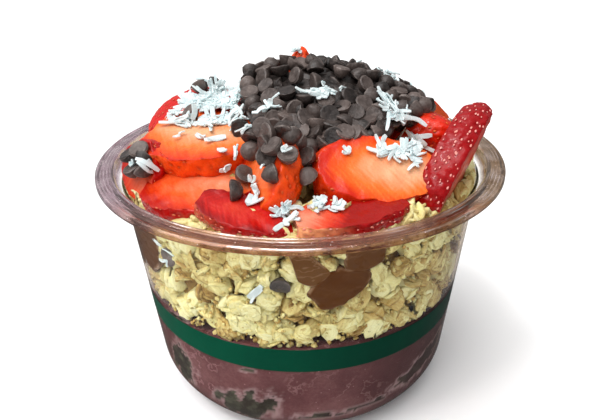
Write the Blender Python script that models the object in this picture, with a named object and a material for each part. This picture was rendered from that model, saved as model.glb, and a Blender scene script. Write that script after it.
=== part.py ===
"""A clear plastic bowl of acai puree under granola, chocolate spread, cut strawberries and chocolate drops.

Lengths in this file are millimetres, and become metres where a mesh is made. +Z is up, the bowl's axis
is Z, and its foot stands on Z = 0. The side that faces -Y is the front, and angles round the bowl are
measured from there towards +X.
"""

import math

import bpy
import numpy as np
from mathutils import Vector
from mathutils.bvhtree import BVHTree

MM = 0.001
GAP = 0.35

# The bowl.
RIM_RADIUS = 60.0
RIM_LIP_HEIGHT = 71.1
RIM_TOP_HEIGHT = 73.2
RIM_INNER_RADIUS = 55.0
WALL_RADIUS_AT_FOOT = 45.9
WALL_SLOPE = 0.1
WALL_THICKNESS = 0.6
SHOULDER_HEIGHT = 69.6
CORNER_RADIUS = 14.3
FOOT_RECESS_RADIUS = 27.0
FOOT_RECESS_DEPTH = 1.0
BOWL_SEGMENTS = 56

# What fills it, from the bottom up.
FILLING_SEGMENTS = 36
PUREE_HEIGHT_FRONT = 36.3
PUREE_RISE_AT_SIDES = 4.5
GRANOLA_RIM_HEIGHT = 69.5
GRANOLA_CROWN = 9.0
GRANOLA_UNEVENNESS = 1.1

# The mound of chocolate drops on top.
MOUND_TOP = (2.0, 4.0, 99.0)
MOUND_CENTRE = (8.0, -4.0)
MOUND_REACH = (24.0, 23.0, 22.5, 31.0, 31.0, 28.0, 26.0, 27.0, 28.0, 26.0, 25.0, 25.0)
MOUND_DROP_ALONG_X = 0.0095
MOUND_DROP_ALONG_Y = 0.0155
MOUND_THICKNESS = 8.5
MOUND_EDGE_THICKNESS = 2.6
MOUND_UNEVENNESS = 1.0
MOUND_SEGMENTS = 28

# A cut strawberry: its widest place is where the two powers balance.
BERRY_SHOULDER_POWER = 0.45
BERRY_TIP_POWER = 0.62
BERRY_HULL_CUT = 0.05
BERRY_STATIONS = 6
BERRY_FACE_STEPS = 2
BERRY_SKIN_STEPS = 4

# Each strawberry piece: length, width, how far it reaches below and above its axis before it is cut
# flat, its middle, the way its tip points, and the way its upper cut face looks.
STRAWBERRIES = {
    "right_half": (34, 19, 9.0, 3.0, (18.5, -31.5, 78.0), (0.995, -0.09, 0.0), (0.05, -0.62, 0.78)),
    "front_right_slice": (32, 14, 4.0, 1.8, (12.1, -44.0, 73.7), (0.953, 0.296, 0.066), (-0.05, -0.12, 0.99)),
    "front_left_slice": (26, 12, 4.0, 1.5, (-13.7, -44.7, 73.4), (0.925, -0.33, -0.20), (0.10, -0.30, 0.95)),
    "left_half": (32, 27, 9.0, 0.5, (-24.5, -15.5, 85.0), (0.92, -0.33, 0.0), (0.03, -0.18, 0.98)),
    "low_left_slice": (31, 22, 3.0, 3.5, (-25.8, -30.8, 74.4), (0.93, -0.22, 0.04), (-0.03, -0.25, 0.96)),
    "left_end_slice": (20, 18, 4.0, 3.5, (-42.0, -21.0, 79.0), (0.155, -0.62, -0.77), (-0.50, -0.55, 0.35)),
    "right_end_slice": (34, 21, 5.0, 3.0, (38.8, -25.0, 78.6), (0.50, 0.50, 0.71), (0.80, -0.42, -0.27)),
    "middle_half": (25, 20, 7.0, 4.0, (-8.0, -28.0, 77.5), (0.50, -0.30, -0.81), (-0.75, -0.45, -0.35)),
    "right_tip": (26, 18, 8.5, 8.5, (34.5, -4.5, 78.5), (0.50, -0.65, 0.35), (0.30, 0.10, 0.90)),
    "upper_left_half": (26, 23, 6.0, 5.0, (-33.5, 5.0, 81.0), (0.75, 0.35, 0.55), (-0.50, -0.45, 0.74)),
    "centre_half": (32, 26, 8.0, 5.0, (3.0, -9.0, 84.5), (0.80, -0.30, -0.10), (0.05, -0.20, 0.97)),
    "centre_right_half": (30, 24, 8.0, 4.5, (20.0, 7.0, 82.0), (-0.70, 0.70, 0.05), (0.25, 0.05, 0.95)),
    "centre_back_half": (31, 25, 8.0, 5.0, (-6.0, 15.0, 84.5), (-0.85, 0.30, -0.08), (-0.05, 0.15, 0.97)),
    "summit_tip": (15, 12, 4.5, 4.5, (0.5, 7.5, 95.0), (0.10, 0.25, 0.95), (0.10, -0.90, 0.20)),
    "back_right_slice": (30, 22, 5.0, 4.0, (36.0, 21.0, 77.0), (-0.55, 0.80, -0.05), (0.60, 0.35, 0.70)),
    "back_centre_right_slice": (32, 23, 5.0, 4.5, (14.0, 34.0, 77.5), (-0.95, 0.28, 0.05), (0.10, 0.55, 0.82)),
    "back_centre_left_slice": (30, 22, 5.0, 4.0, (-17.0, 35.5, 76.5), (-0.90, -0.35, 0.0), (-0.10, 0.60, 0.78)),
    "back_left_slice": (27, 20, 4.5, 4.0, (-36.5, 22.5, 77.0), (-0.30, -0.85, 0.10), (-0.60, 0.25, 0.75)),
}

# Each lump of chocolate spread against the wall: its angle round the bowl in degrees and its height,
# its half width and half height, its lean in degrees, and how far it reaches in from the wall.
SPREAD_EDGE = 1.2
SPREADS = {
    "front": (11.0, 57.0, 15.0, 8.0, 24.0, 9.0),
    "left": (-47.0, 59.0, 8.5, 6.5, -15.0, 6.0),
}


def clear_scene():
    """Removes whatever the scene holds."""
    for obj in list(bpy.data.objects):
        bpy.data.objects.remove(obj, do_unlink=True)


def material(name, colour, roughness, transmission=0.0):
    """A Principled material of one colour."""
    made = bpy.data.materials.new(name)
    made.use_nodes = True
    shader = made.node_tree.nodes["Principled BSDF"]
    shader.inputs["Base Color"].default_value = (*colour, 1.0)
    shader.inputs["Roughness"].default_value = roughness
    shader.inputs["Transmission Weight"].default_value = transmission
    return made


def solid(name, points, faces, finish, smooth_angle=35.0):
    """An object from points in millimetres."""
    mesh = bpy.data.meshes.new(name)
    mesh.from_pydata((np.asarray(points) * MM).tolist(), [], [list(f) for f in faces])
    mesh.materials.append(finish)
    mesh.shade_smooth()
    mesh.set_sharp_from_angle(angle=math.radians(smooth_angle))
    obj = bpy.data.objects.new(name, mesh)
    bpy.context.scene.collection.objects.link(obj)
    return obj


def round_body(rings, segments):
    """Points and faces of a body turned about the vertical, closed at the bottom and at the top.

    rings(angle) gives its (x, y, z) points from the bottom middle to the top middle, which are shared
    by every angle.
    """
    angles = np.linspace(0.0, 2 * math.pi, segments, endpoint=False)
    profiles = np.array([rings(a) for a in angles])
    inner = profiles[:, 1:-1]
    steps = inner.shape[1]
    points = np.vstack([profiles[0, :1], inner.reshape(-1, 3), profiles[0, -1:]])
    first, last = 0, len(points) - 1
    faces = []
    for i in range(segments):
        here, there = 1 + i * steps, 1 + ((i + 1) % segments) * steps
        faces.append((first, there, here))
        faces.append((here + steps - 1, there + steps - 1, last))
        for k in range(steps - 1):
            faces.append((here + k, there + k, there + k + 1))
            faces.append((here + k, there + k + 1, here + k + 1))
    return points, faces


def waves(x, y, seed):
    """Smooth unevenness from -1 to 1 over the plan, from five crossing waves of 8 to 20 mm."""
    rng = np.random.default_rng(seed)
    total = 0.0
    for _ in range(5):
        angle, phase = rng.uniform(0, 2 * math.pi, 2)
        length = rng.uniform(8.0, 20.0)
        along = x * math.cos(angle) + y * math.sin(angle)
        total += math.sin(2 * math.pi * along / length + phase)
    return total / 3.0


# The bowl: one sheet of clear plastic, drawn down into a round wall with a turned-over rim.


def wall_radius(z):
    return WALL_RADIUS_AT_FOOT + WALL_SLOPE * z


def corner_arc(offset, steps):
    """The bottom corner's arc, from the floor up to the wall, moved in by offset from the outside."""
    slant = math.hypot(1.0, WALL_SLOPE)
    centre = wall_radius(CORNER_RADIUS) - CORNER_RADIUS * slant
    turn = math.atan(WALL_SLOPE)
    radius = CORNER_RADIUS - offset
    arc = []
    for k in range(steps + 1):
        angle = -math.pi / 2 + (math.pi / 2 - turn) * k / steps
        arc.append((centre + radius * math.cos(angle), CORNER_RADIUS + radius * math.sin(angle)))
    return arc


def bowl_profile():
    """The section from the middle of the inside floor up, over the rim and down to the foot's middle."""
    t = WALL_THICKNESS
    floor = FOOT_RECESS_DEPTH + t
    recess_edge = FOOT_RECESS_RADIUS + 1.5
    shoulder_in = wall_radius(SHOULDER_HEIGHT) - t
    inside = [(0.0, floor), (FOOT_RECESS_RADIUS, floor), (recess_edge + 0.4, t)]
    inside += corner_arc(t, 4)
    inside += [(shoulder_in, SHOULDER_HEIGHT), (RIM_INNER_RADIUS - 0.5, SHOULDER_HEIGHT + 0.7)]
    rim = [
        (RIM_INNER_RADIUS - 0.2, RIM_TOP_HEIGHT - 0.5),
        (RIM_INNER_RADIUS + 0.4, RIM_TOP_HEIGHT),
        (RIM_INNER_RADIUS + 1.3, RIM_TOP_HEIGHT - 0.3),
        (RIM_RADIUS - 1.3, RIM_TOP_HEIGHT - 0.45),
        (RIM_RADIUS - 0.4, RIM_TOP_HEIGHT - 0.8),
        (RIM_RADIUS, RIM_TOP_HEIGHT - 1.4),
        (RIM_RADIUS, RIM_LIP_HEIGHT),
        (RIM_RADIUS - t, RIM_LIP_HEIGHT),
        (RIM_RADIUS - t, RIM_TOP_HEIGHT - 1.5),
        (RIM_RADIUS - 1.5, RIM_TOP_HEIGHT - 0.45 - t),
        (RIM_INNER_RADIUS + 0.6, RIM_TOP_HEIGHT - 0.4 - t),
        (RIM_INNER_RADIUS + 0.3, SHOULDER_HEIGHT + 0.2),
        (wall_radius(SHOULDER_HEIGHT) + 0.2, SHOULDER_HEIGHT - 0.5),
    ]
    outside = corner_arc(0.0, 4)[::-1]
    foot = [(recess_edge, 0.0), (FOOT_RECESS_RADIUS + 0.5, FOOT_RECESS_DEPTH), (0.0, FOOT_RECESS_DEPTH)]
    return inside + rim + outside + foot


def bowl(finish):
    profile = bowl_profile()
    mesh = bpy.data.meshes.new("bowl")
    points = [(r * MM, 0.0, z * MM) for r, z in profile]
    mesh.from_pydata(points, [(i, i + 1) for i in range(len(points) - 1)], [])
    mesh.materials.append(finish)
    obj = bpy.data.objects.new("bowl", mesh)
    bpy.context.scene.collection.objects.link(obj)
    screw = obj.modifiers.new("turn", "SCREW")
    screw.steps = screw.render_steps = BOWL_SEGMENTS
    screw.use_merge_vertices = True
    screw.merge_threshold = 0.00005
    screw.use_smooth_shade = True
    return obj


# The puree: it fills the bowl from the floor up, and its top is dished.


def inside_radius(z):
    """The largest radius that the filling may have at height z."""
    clear = WALL_THICKNESS + GAP
    if z >= CORNER_RADIUS:
        return wall_radius(z) - clear
    slant = math.hypot(1.0, WALL_SLOPE)
    centre = wall_radius(CORNER_RADIUS) - CORNER_RADIUS * slant
    radius = CORNER_RADIUS - clear
    return centre + math.sqrt(max(radius**2 - (CORNER_RADIUS - z) ** 2, 0.0))


def puree_top(x, y):
    """Height of the puree: lowest at the front, higher at the sides and the back."""
    angle = math.atan2(x, -y)
    share = min(math.hypot(x, y) / wall_radius(PUREE_HEIGHT_FRONT), 1.0)
    rise = PUREE_RISE_AT_SIDES * math.sin(angle / 2) ** 2 * share**2 * 1.6
    return PUREE_HEIGHT_FRONT + min(rise, PUREE_RISE_AT_SIDES) + 0.5 * waves(x, y, 3) * (1 - share**4)


def puree_rings(angle):
    ux, uy = math.sin(angle), -math.cos(angle)
    floor = FOOT_RECESS_DEPTH + WALL_THICKNESS + GAP
    low = WALL_THICKNESS + GAP
    section = [(0.0, floor), (FOOT_RECESS_RADIUS, floor), (FOOT_RECESS_RADIUS + 2.2, low + 0.1)]
    for z in (low + 0.05, 2.2, 4.5, 8.0, CORNER_RADIUS):
        section.append((inside_radius(z), z))
    edge = wall_radius(PUREE_HEIGHT_FRONT) - WALL_THICKNESS - GAP
    top_at_wall = puree_top(ux * edge, uy * edge)
    section.append((inside_radius(top_at_wall), top_at_wall))
    points = [(r * ux, r * uy, z) for r, z in section]
    for share in (0.75, 0.45, 0.0):
        x, y = share * edge * ux, share * edge * uy
        points.append((x, y, puree_top(x, y)))
    return points


# Cut strawberries: a berry is a turned form, round at the hulled end and narrow at the tip.


def berry_fullness(t):
    """The berry's width along its length, as a share of its greatest width."""
    peak = BERRY_SHOULDER_POWER / (BERRY_SHOULDER_POWER + BERRY_TIP_POWER)
    return (t / peak) ** BERRY_SHOULDER_POWER * ((1 - t) / (1 - peak)) ** BERRY_TIP_POWER


def berry_section(radius, below, above):
    """One section across the berry: a circle cut flat below and above, from the upper face's right end."""
    low = max(-below, -0.97 * radius)
    high = min(above, 0.97 * radius)
    to_high, to_low = math.asin(high / radius), math.asin(low / radius)
    wide_high, wide_low = radius * math.cos(to_high), radius * math.cos(to_low)
    section = []
    for k in range(BERRY_FACE_STEPS):
        section.append((wide_high * (1 - 2 * k / BERRY_FACE_STEPS), high))
    for k in range(BERRY_SKIN_STEPS):
        a = to_high + (to_low - to_high) * k / BERRY_SKIN_STEPS
        section.append((-radius * math.cos(a), radius * math.sin(a)))
    for k in range(BERRY_FACE_STEPS):
        section.append((-wide_low * (1 - 2 * k / BERRY_FACE_STEPS), low))
    for k in range(BERRY_SKIN_STEPS):
        a = to_low + (to_high - to_low) * k / BERRY_SKIN_STEPS
        section.append((radius * math.cos(a), radius * math.sin(a)))
    return section


def berry_axes(tip, face):
    """Unit vectors along the berry, across it, and out of its upper cut face."""
    along = Vector(tip).normalized()
    out = Vector(face) - Vector(face).dot(along) * along
    out.normalize()
    return along, out.cross(along), out


def berry_mesh(piece, grow=0.0):
    """Points and faces of one strawberry piece, grown by some millimetres on every side."""
    length, width, below, above, middle, tip, face = piece
    length, width = length + 2 * grow, width + 2 * grow
    along, across, out = berry_axes(tip, face)
    points = []
    for i in range(BERRY_STATIONS):
        turn = math.pi * i / BERRY_STATIONS
        t = BERRY_HULL_CUT + (1 - BERRY_HULL_CUT) * (0.5 - 0.5 * math.cos(turn))
        for y, z in berry_section(width / 2 * berry_fullness(t), below + grow, above + grow):
            points.append(Vector(middle) + along * length * (t - 0.5) + across * y + out * z)
    count = len(points) // BERRY_STATIONS
    hull, end = len(points), len(points) + 1
    points.append(Vector(middle) + along * length * (BERRY_HULL_CUT - 0.5))
    points.append(Vector(middle) + along * length * 0.5)
    faces = []
    for j in range(count):
        k = (j + 1) % count
        faces.append((hull, k, j))
        faces.append((end, (BERRY_STATIONS - 1) * count + j, (BERRY_STATIONS - 1) * count + k))
        for i in range(BERRY_STATIONS - 1):
            a, b = i * count + j, i * count + k
            faces.append((a, b, b + count))
            faces.append((a, b + count, a + count))
    return [tuple(p) for p in points], faces


def cutter(name, points, faces):
    """A hidden solid that only cuts others."""
    mesh = bpy.data.meshes.new(name)
    mesh.from_pydata((np.asarray(points) * MM).tolist(), [], faces)
    obj = bpy.data.objects.new(name, mesh)
    bpy.context.scene.collection.objects.link(obj)
    obj.hide_render = True
    obj.display_type = "WIRE"
    return obj


def cut_by(obj, tool):
    boolean = obj.modifiers.new("clear of " + tool.name, "BOOLEAN")
    boolean.operation = "DIFFERENCE"
    boolean.object = tool


def room_for(name, grown):
    """The cutter of one strawberry's grown form, made the first time it is asked for."""
    known = bpy.data.objects.get("room_for_" + name)
    return known or cutter("room_for_" + name, *grown)


def strawberries(finish):
    """The pieces in the order they stand in the table. Where two press together, the later one gives way."""
    made, trees = [], {}
    for name, piece in STRAWBERRIES.items():
        points, faces = berry_mesh(piece)
        obj = solid("strawberry_" + name, points, faces, finish)
        tree = BVHTree.FromPolygons(points, faces)
        for other, (other_piece, other_tree) in trees.items():
            if tree.overlap(other_tree):
                cut_by(obj, room_for(other, berry_mesh(other_piece, GAP)))
        trees[name] = (piece, BVHTree.FromPolygons(*berry_mesh(piece, GAP)))
        made.append(obj)
    return made


# Chocolate spread: lumps pressed flat against the wall.


def spread_mesh(lump, grow=0.0, past_wall=0.0):
    """A cushion on the wall: flat to the wall outside, rounded towards the middle of the bowl."""
    angle, height, half_width, half_height, lean, depth = lump
    rounds, steps = 3, 16
    cos_lean, sin_lean = math.cos(math.radians(lean)), math.sin(math.radians(lean))
    points = []

    def place(across, up, inwards):
        z = height + up
        round_bowl = math.radians(angle) + across / wall_radius(height)
        radius = wall_radius(z) - WALL_THICKNESS - GAP + past_wall - inwards
        points.append((radius * math.sin(round_bowl), -radius * math.cos(round_bowl), z))

    place(0.0, 0.0, 0.0)
    shares = [(i + 1) / rounds for i in range(rounds)]
    for side, ring_shares in ((0.0, shares), (1.0, shares[::-1])):
        for share in ring_shares:
            for j in range(steps):
                turn = 2 * math.pi * j / steps
                corner = 1 - 0.12 * math.cos(4 * turn)
                a = (half_width + grow) * share * corner * math.cos(turn)
                b = (half_height + grow) * share * corner * math.sin(turn)
                bulge = side * (SPREAD_EDGE + depth * math.sqrt(1 - share**2) + past_wall + grow)
                place(a * cos_lean - b * sin_lean, a * sin_lean + b * cos_lean, bulge)
    place(0.0, 0.0, SPREAD_EDGE + depth + past_wall + grow)
    rings = len(shares) * 2
    last = len(points) - 1
    faces = []
    for j in range(steps):
        k = (j + 1) % steps
        faces.append((0, 1 + j, 1 + k))
        faces.append((last, last - steps + k, last - steps + j))
        for i in range(rings - 1):
            a, b = 1 + i * steps + j, 1 + i * steps + k
            faces.append((a, a + steps, b + steps))
            faces.append((a, b + steps, b))
    return points, faces


def spreads(finish):
    return [solid("chocolate_spread_" + n, *spread_mesh(lump), finish) for n, lump in SPREADS.items()]


# Granola: a heap out to the wall, domed in the middle, pressed down where strawberries lie on it.


def heights_near(trees, x, y, reach, upwards):
    """Where bodies are first met within reach of (x, y), looking up from below or down from above."""
    direction = Vector((0, 0, 1 if upwards else -1))
    met = []
    for k in range(13):
        ring = reach * (k > 0) * (1.0 if k % 2 else 0.5)
        turn = math.pi * k / 6
        start = Vector((x + ring * math.cos(turn), y + ring * math.sin(turn), 0)) - 500 * direction
        met += [hit[0].z for hit in (tree.ray_cast(start, direction) for tree in trees) if hit[0]]
    return met


def give_way(obj, points, faces, pieces):
    """Cuts a body clear of the strawberries that it still touches."""
    own = BVHTree.FromPolygons([tuple(p) for p in points], faces)
    for name, piece in pieces.items():
        grown = berry_mesh(piece, GAP)
        if own.overlap(BVHTree.FromPolygons(*grown)):
            cut_by(obj, room_for(name, grown))


def granola_rings(undersides):
    def rings(angle):
        ux, uy = math.sin(angle), -math.cos(angle)
        edge_low = wall_radius(PUREE_HEIGHT_FRONT) - WALL_THICKNESS - GAP
        points = []
        for share in (0.0, 0.45, 0.75):
            x, y = share * edge_low * ux, share * edge_low * uy
            points.append((x, y, puree_top(x, y) + 2 * GAP))
        wall_foot = puree_top(ux * edge_low, uy * edge_low) + 2 * GAP
        for share in (0.0, 0.33, 0.66, 1.0):
            z = wall_foot + share * (GRANOLA_RIM_HEIGHT - 1.5 - wall_foot)
            dent = 0.5 + 0.5 * waves(60 * angle, z * 1.5, 11)
            r = inside_radius(z) - (0.5 * max(dent, 0.0) if 0 < share < 1 else 0.0)
            points.append((r * ux, r * uy, z))
        for r in (49.0, 44.0, 38.5, 32.5, 26.0, 19.0, 11.0, 0.0):
            x, y = r * ux, r * uy
            z = GRANOLA_RIM_HEIGHT + GRANOLA_CROWN * (1 - (r / 52.0) ** 2)
            z += GRANOLA_UNEVENNESS * waves(x, y, 5)
            met = heights_near(undersides, x, y, 3.0, upwards=True)
            points.append((x, y, min([z] + [low - 2 * GAP for low in met])))
        return points

    return rings


def granola(finish, undersides):
    points, faces = round_body(granola_rings(undersides), FILLING_SEGMENTS)
    obj = solid("granola", points, faces, finish)
    give_way(obj, points, faces, STRAWBERRIES)
    for name, lump in SPREADS.items():
        cut_by(obj, cutter("room_for_spread_" + name, *spread_mesh(lump, GAP + 0.1, 2.0)))
    return obj


# The mound of chocolate drops, lying over the strawberries.


def mound_rings(tops):
    def dome(x, y):
        drop = MOUND_DROP_ALONG_X * (x - MOUND_TOP[0]) ** 2 + MOUND_DROP_ALONG_Y * (y - MOUND_TOP[1]) ** 2
        return MOUND_TOP[2] - drop + MOUND_UNEVENNESS * waves(x, y, 7)

    def reach(angle):
        ends = MOUND_REACH + MOUND_REACH[:1]
        outline = np.interp(math.degrees(angle) % 360, np.linspace(0, 360, len(ends)), ends)
        return outline * (1 + 0.03 * math.sin(9 * angle + 1.0))

    def rings(angle):
        ux, uy = math.sin(angle), -math.cos(angle)
        under, over = [], []
        for share in (0.0, 0.22, 0.42, 0.6, 0.76, 0.9, 1.0):
            x = MOUND_CENTRE[0] + share * reach(angle) * ux
            y = MOUND_CENTRE[1] + share * reach(angle) * uy
            thick = MOUND_EDGE_THICKNESS + (MOUND_THICKNESS - MOUND_EDGE_THICKNESS) * (1 - share**3)
            low = dome(x, y) - thick
            low = max([low] + [high + 2 * GAP for high in heights_near(tops, x, y, 3.0, upwards=False)])
            under.append((x, y, low))
            over.append((x, y, max(dome(x, y), low + MOUND_EDGE_THICKNESS)))
        return under + over[::-1]

    return rings


def build():
    clear_scene()
    plastic = material("clear_plastic", (0.90, 0.92, 0.90), 0.05, transmission=0.95)
    puree = material("acai_puree", (0.16, 0.05, 0.07), 0.35)
    oats = material("toasted_oats", (0.62, 0.45, 0.22), 0.80)
    spread = material("chocolate_spread", (0.12, 0.045, 0.02), 0.25)
    fruit = material("strawberry_flesh", (0.75, 0.08, 0.03), 0.30)
    drops = material("dark_chocolate", (0.045, 0.028, 0.024), 0.45)
    bowl(plastic)
    solid("acai_puree", *round_body(puree_rings, FILLING_SEGMENTS), puree)
    spreads(spread)
    strawberries(fruit)
    trees = [BVHTree.FromPolygons(*berry_mesh(piece)) for piece in STRAWBERRIES.values()]
    granola(oats, trees)
    under = {name: tree for name, tree in zip(STRAWBERRIES, trees) if name != "summit_tip"}
    points, faces = round_body(mound_rings(list(under.values())), MOUND_SEGMENTS)
    give_way(solid("chocolate_drop_mound", points, faces, drops), points, faces, STRAWBERRIES)


build()
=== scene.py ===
import bpy
import numpy as np
from mathutils import Matrix, Vector
from mathutils.bvhtree import BVHTree


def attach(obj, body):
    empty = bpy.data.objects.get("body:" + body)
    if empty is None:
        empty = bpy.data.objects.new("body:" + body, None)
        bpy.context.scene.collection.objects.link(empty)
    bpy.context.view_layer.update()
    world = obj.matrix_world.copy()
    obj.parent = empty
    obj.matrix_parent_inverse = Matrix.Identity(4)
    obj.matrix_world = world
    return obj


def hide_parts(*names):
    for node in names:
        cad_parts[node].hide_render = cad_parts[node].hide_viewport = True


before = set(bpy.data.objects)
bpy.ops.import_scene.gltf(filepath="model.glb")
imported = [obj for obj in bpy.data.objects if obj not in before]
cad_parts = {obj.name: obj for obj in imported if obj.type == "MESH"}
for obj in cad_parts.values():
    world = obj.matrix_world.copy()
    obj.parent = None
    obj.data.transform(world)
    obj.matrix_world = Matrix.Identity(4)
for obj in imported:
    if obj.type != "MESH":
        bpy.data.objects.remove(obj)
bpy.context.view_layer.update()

# Sizes are millimetres until surface() makes them metres. The front of the bowl faces -Y, and angles
# round the bowl start at the front and grow towards +X.


# ---- The table, the light and the camera --------------------------------------------------------
# A wide pale matt board carries the bowl. A soft lamp stands far off, high on the left, with a small
# one beside it, and the room is bright above on the left. The camera is close above the front, and
# looks down. The board doesn't mirror in the plastic, as if a dark cloth hung low round the scene.

MM = 0.001
TABLE_HALF = 30000.0
LAMP_WAY = (-0.40, -0.26, 1.0)
# Each lamp: how wide it looks in degrees, and its power.
LAMPS = {"lamp_soft": (65.0, 2.5), "lamp_small": (9.0, 0.6)}
# The room: the way to its brightest side, and how bright it is away from that side and on it.
ROOM_WAY = (-0.46, -0.12, 0.88)
ROOM_LOW = 0.15
ROOM_HIGH = 0.9
CAMERA_PLACE = (-0.22, -175.7, 140.3)
CAMERA_TILT_DOWN = 26.56
CAMERA_ROLL = -0.98
CAMERA_LENS = 36.985
CAMERA_FILM = 36.0


def shade(red, green, blue):
    """A colour as a screen gives it, 0 to 255, as the linear colour that light is worked out with."""
    screen = np.array([red, green, blue]) / 255.0
    linear = np.where(screen <= 0.04045, screen / 12.92, ((screen + 0.055) / 1.055) ** 2.4)
    return (*linear.tolist(), 1.0)


class Wire:
    """A socket that can be used in sums. Each operator adds the Math node that works it out."""

    def __init__(self, finish, socket):
        self.finish = finish
        self.socket = socket

    def maths(self, operation, first, second=0.0, clamp=False):
        settings = {"operation": operation, "use_clamp": clamp}
        return self.finish.add("Math", settings, {0: first, 1: second})

    def __add__(self, other):
        return self.maths("ADD", self, other)

    def __sub__(self, other):
        return self.maths("SUBTRACT", self, other)

    def __mul__(self, other):
        return self.maths("MULTIPLY", self, other)

    def __rsub__(self, other):
        return self.maths("SUBTRACT", other, self)

    __radd__ = __add__
    __rmul__ = __mul__

    def clipped(self):
        """The value held between 0 and 1."""
        return self.maths("ADD", self, 0.0, clamp=True)

    def rise(self, low, high):
        """0 below low and 1 above high, with a smooth rise between them. High may be the lower one."""
        ends = {"From Min": low, "From Max": high, "To Min": 0.0, "To Max": 1.0, "Value": self}
        return self.finish.add("MapRange", {"interpolation_type": "SMOOTHSTEP"}, ends)


class Finish:
    """One material: a Principled shader whose even values are set on it, and the nodes that vary it."""

    def __init__(self, name, even):
        self.material = bpy.data.materials.new(name)
        self.material.use_nodes = True
        self.tree = self.material.node_tree
        self.shader = self.tree.nodes["Principled BSDF"]
        for socket, value in even.items():
            self.shader.inputs[socket].default_value = value

    def add(self, kind, settings=None, sockets=None, output=0):
        """A node of that kind: its settings go in first, then each socket gets its value or its link."""
        node = self.tree.nodes.new("ShaderNode" + kind)
        for name, value in (settings or {}).items():
            if name == "stops":
                while len(node.color_ramp.elements) < len(value):
                    node.color_ramp.elements.new(0.5)
                for stop, (place, tint) in zip(node.color_ramp.elements, value):
                    stop.position = place
                    stop.color = tint
            else:
                setattr(node, name, value)
        for name, value in (sockets or {}).items():
            if isinstance(value, Wire):
                self.tree.links.new(value.socket, node.inputs[name])
            else:
                node.inputs[name].default_value = value
        return Wire(self, node.outputs[output])

    def feed(self, socket, value):
        """Lets the value vary that socket of the shader over the surface."""
        self.tree.links.new(value.socket, self.shader.inputs[socket])

    def place(self):
        """The point's place on the object, in metres."""
        return self.add("TexCoord", output=3)

    def along(self, axis):
        """The point's place along one axis, in metres: 0 is X, 1 is Y and 2 is Z."""
        return self.add("SeparateXYZ", {}, {0: self.place()}, axis)

    def stored(self, name):
        """A number that the mesh holds for each point."""
        return self.add("Attribute", {"attribute_name": name}, output=2)

    def stretched(self, factors):
        """The point's place with each axis multiplied by its own factor."""
        return self.add("VectorMath", {"operation": "MULTIPLY"}, {0: self.place(), 1: factors})

    def cloud(self, grain, detail=4.0, rough=0.55, at=None):
        """Soft blotches from 0 to 1, the largest about grain mm across."""
        sockets = {"Scale": 1 / (grain * MM), "Detail": detail, "Roughness": rough}
        sockets["Vector"] = at if at is not None else self.place()
        return self.add("TexNoise", {}, sockets)

    def specks(self, spacing):
        """The distance from the nearest of a set of scattered spots, 0 on a spot, about 1 between them."""
        return self.add("TexVoronoi", {}, {"Scale": 1 / (spacing * MM), "Vector": self.place()})

    def mix(self, share, first, second):
        """The first colour where the share is 0, and the second where it is 1."""
        return self.add("Mix", {"data_type": "RGBA"}, {0: share, 6: first, 7: second}, output=2)

    def ramp(self, value, *stops):
        """The colour that the stops give for a value: each stop is a place from 0 to 1 and its colour."""
        return self.add("ValToRGB", {"stops": stops}, {"Fac": value})

    def relief(self, height, depth):
        """Lets the height, from 0 to 1, raise the surface by up to depth mm."""
        bump = self.add("Bump", {}, {"Strength": 1.0, "Distance": depth * MM, "Height": height})
        self.feed("Normal", bump)


def surface(name, points, faces, finish, **held):
    """An object from points in mm and arrays of faces; held gives numbers for each point, by name."""
    corners = np.concatenate([np.ravel(part) for part in faces]).astype(np.int32)
    sizes = np.concatenate([np.full(len(part), part.shape[1]) for part in faces])
    mesh = bpy.data.meshes.new(name)
    mesh.vertices.add(len(points))
    mesh.vertices.foreach_set("co", (np.asarray(points) * MM).astype(np.float32).ravel())
    mesh.loops.add(len(corners))
    mesh.loops.foreach_set("vertex_index", corners)
    mesh.polygons.add(len(sizes))
    mesh.polygons.foreach_set("loop_start", (np.cumsum(sizes) - sizes).astype(np.int32))
    mesh.update(calc_edges=True)
    for label, values in held.items():
        layer = mesh.attributes.new(label, "FLOAT", "POINT")
        layer.data.foreach_set("value", np.asarray(values, np.float32).ravel())
    mesh.materials.append(finish.material)
    mesh.shade_smooth()
    obj = bpy.data.objects.new(name, mesh)
    bpy.context.scene.collection.objects.link(obj)
    return obj


board = Finish("pale_board", {"Roughness": 0.9, "Specular IOR Level": 0.1})
board.feed("Base Color", board.mix(board.cloud(40.0), shade(245, 245, 246), shade(248, 248, 248)))
table_points = np.array([(-1, -1, 0), (1, -1, 0), (1, 1, 0), (-1, 1, 0)]) * TABLE_HALF
table = surface("table", table_points, [np.array([[0, 1, 2, 3]])], board)
table.visible_glossy = False

for name, (spread, power) in LAMPS.items():
    lamp_data = bpy.data.lights.new(name, "SUN")
    lamp_data.angle = np.radians(spread)
    lamp_data.energy = power
    lamp = bpy.data.objects.new(name, lamp_data)
    lamp.rotation_euler = Vector(LAMP_WAY).to_track_quat("Z", "Y").to_euler()
    bpy.context.scene.collection.objects.link(lamp)

room = bpy.data.worlds.new("room")
room.use_nodes = True
sky = room.node_tree.nodes
towards = sky.new("ShaderNodeVectorMath")
towards.operation = "DOT_PRODUCT"
towards.inputs[1].default_value = ROOM_WAY
room.node_tree.links.new(sky.new("ShaderNodeTexCoord").outputs["Generated"], towards.inputs[0])
glow = sky.new("ShaderNodeMapRange")
glow.inputs["From Min"].default_value = -0.3
glow.inputs["To Min"].default_value = ROOM_LOW
glow.inputs["To Max"].default_value = ROOM_HIGH
room.node_tree.links.new(towards.outputs["Value"], glow.inputs["Value"])
room.node_tree.links.new(glow.outputs[0], sky["Background"].inputs["Strength"])
sky["Background"].inputs["Color"].default_value = (1.0, 1.0, 1.0, 1.0)
bpy.context.scene.world = room
bpy.context.scene.view_settings.view_transform = "Standard"

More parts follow.
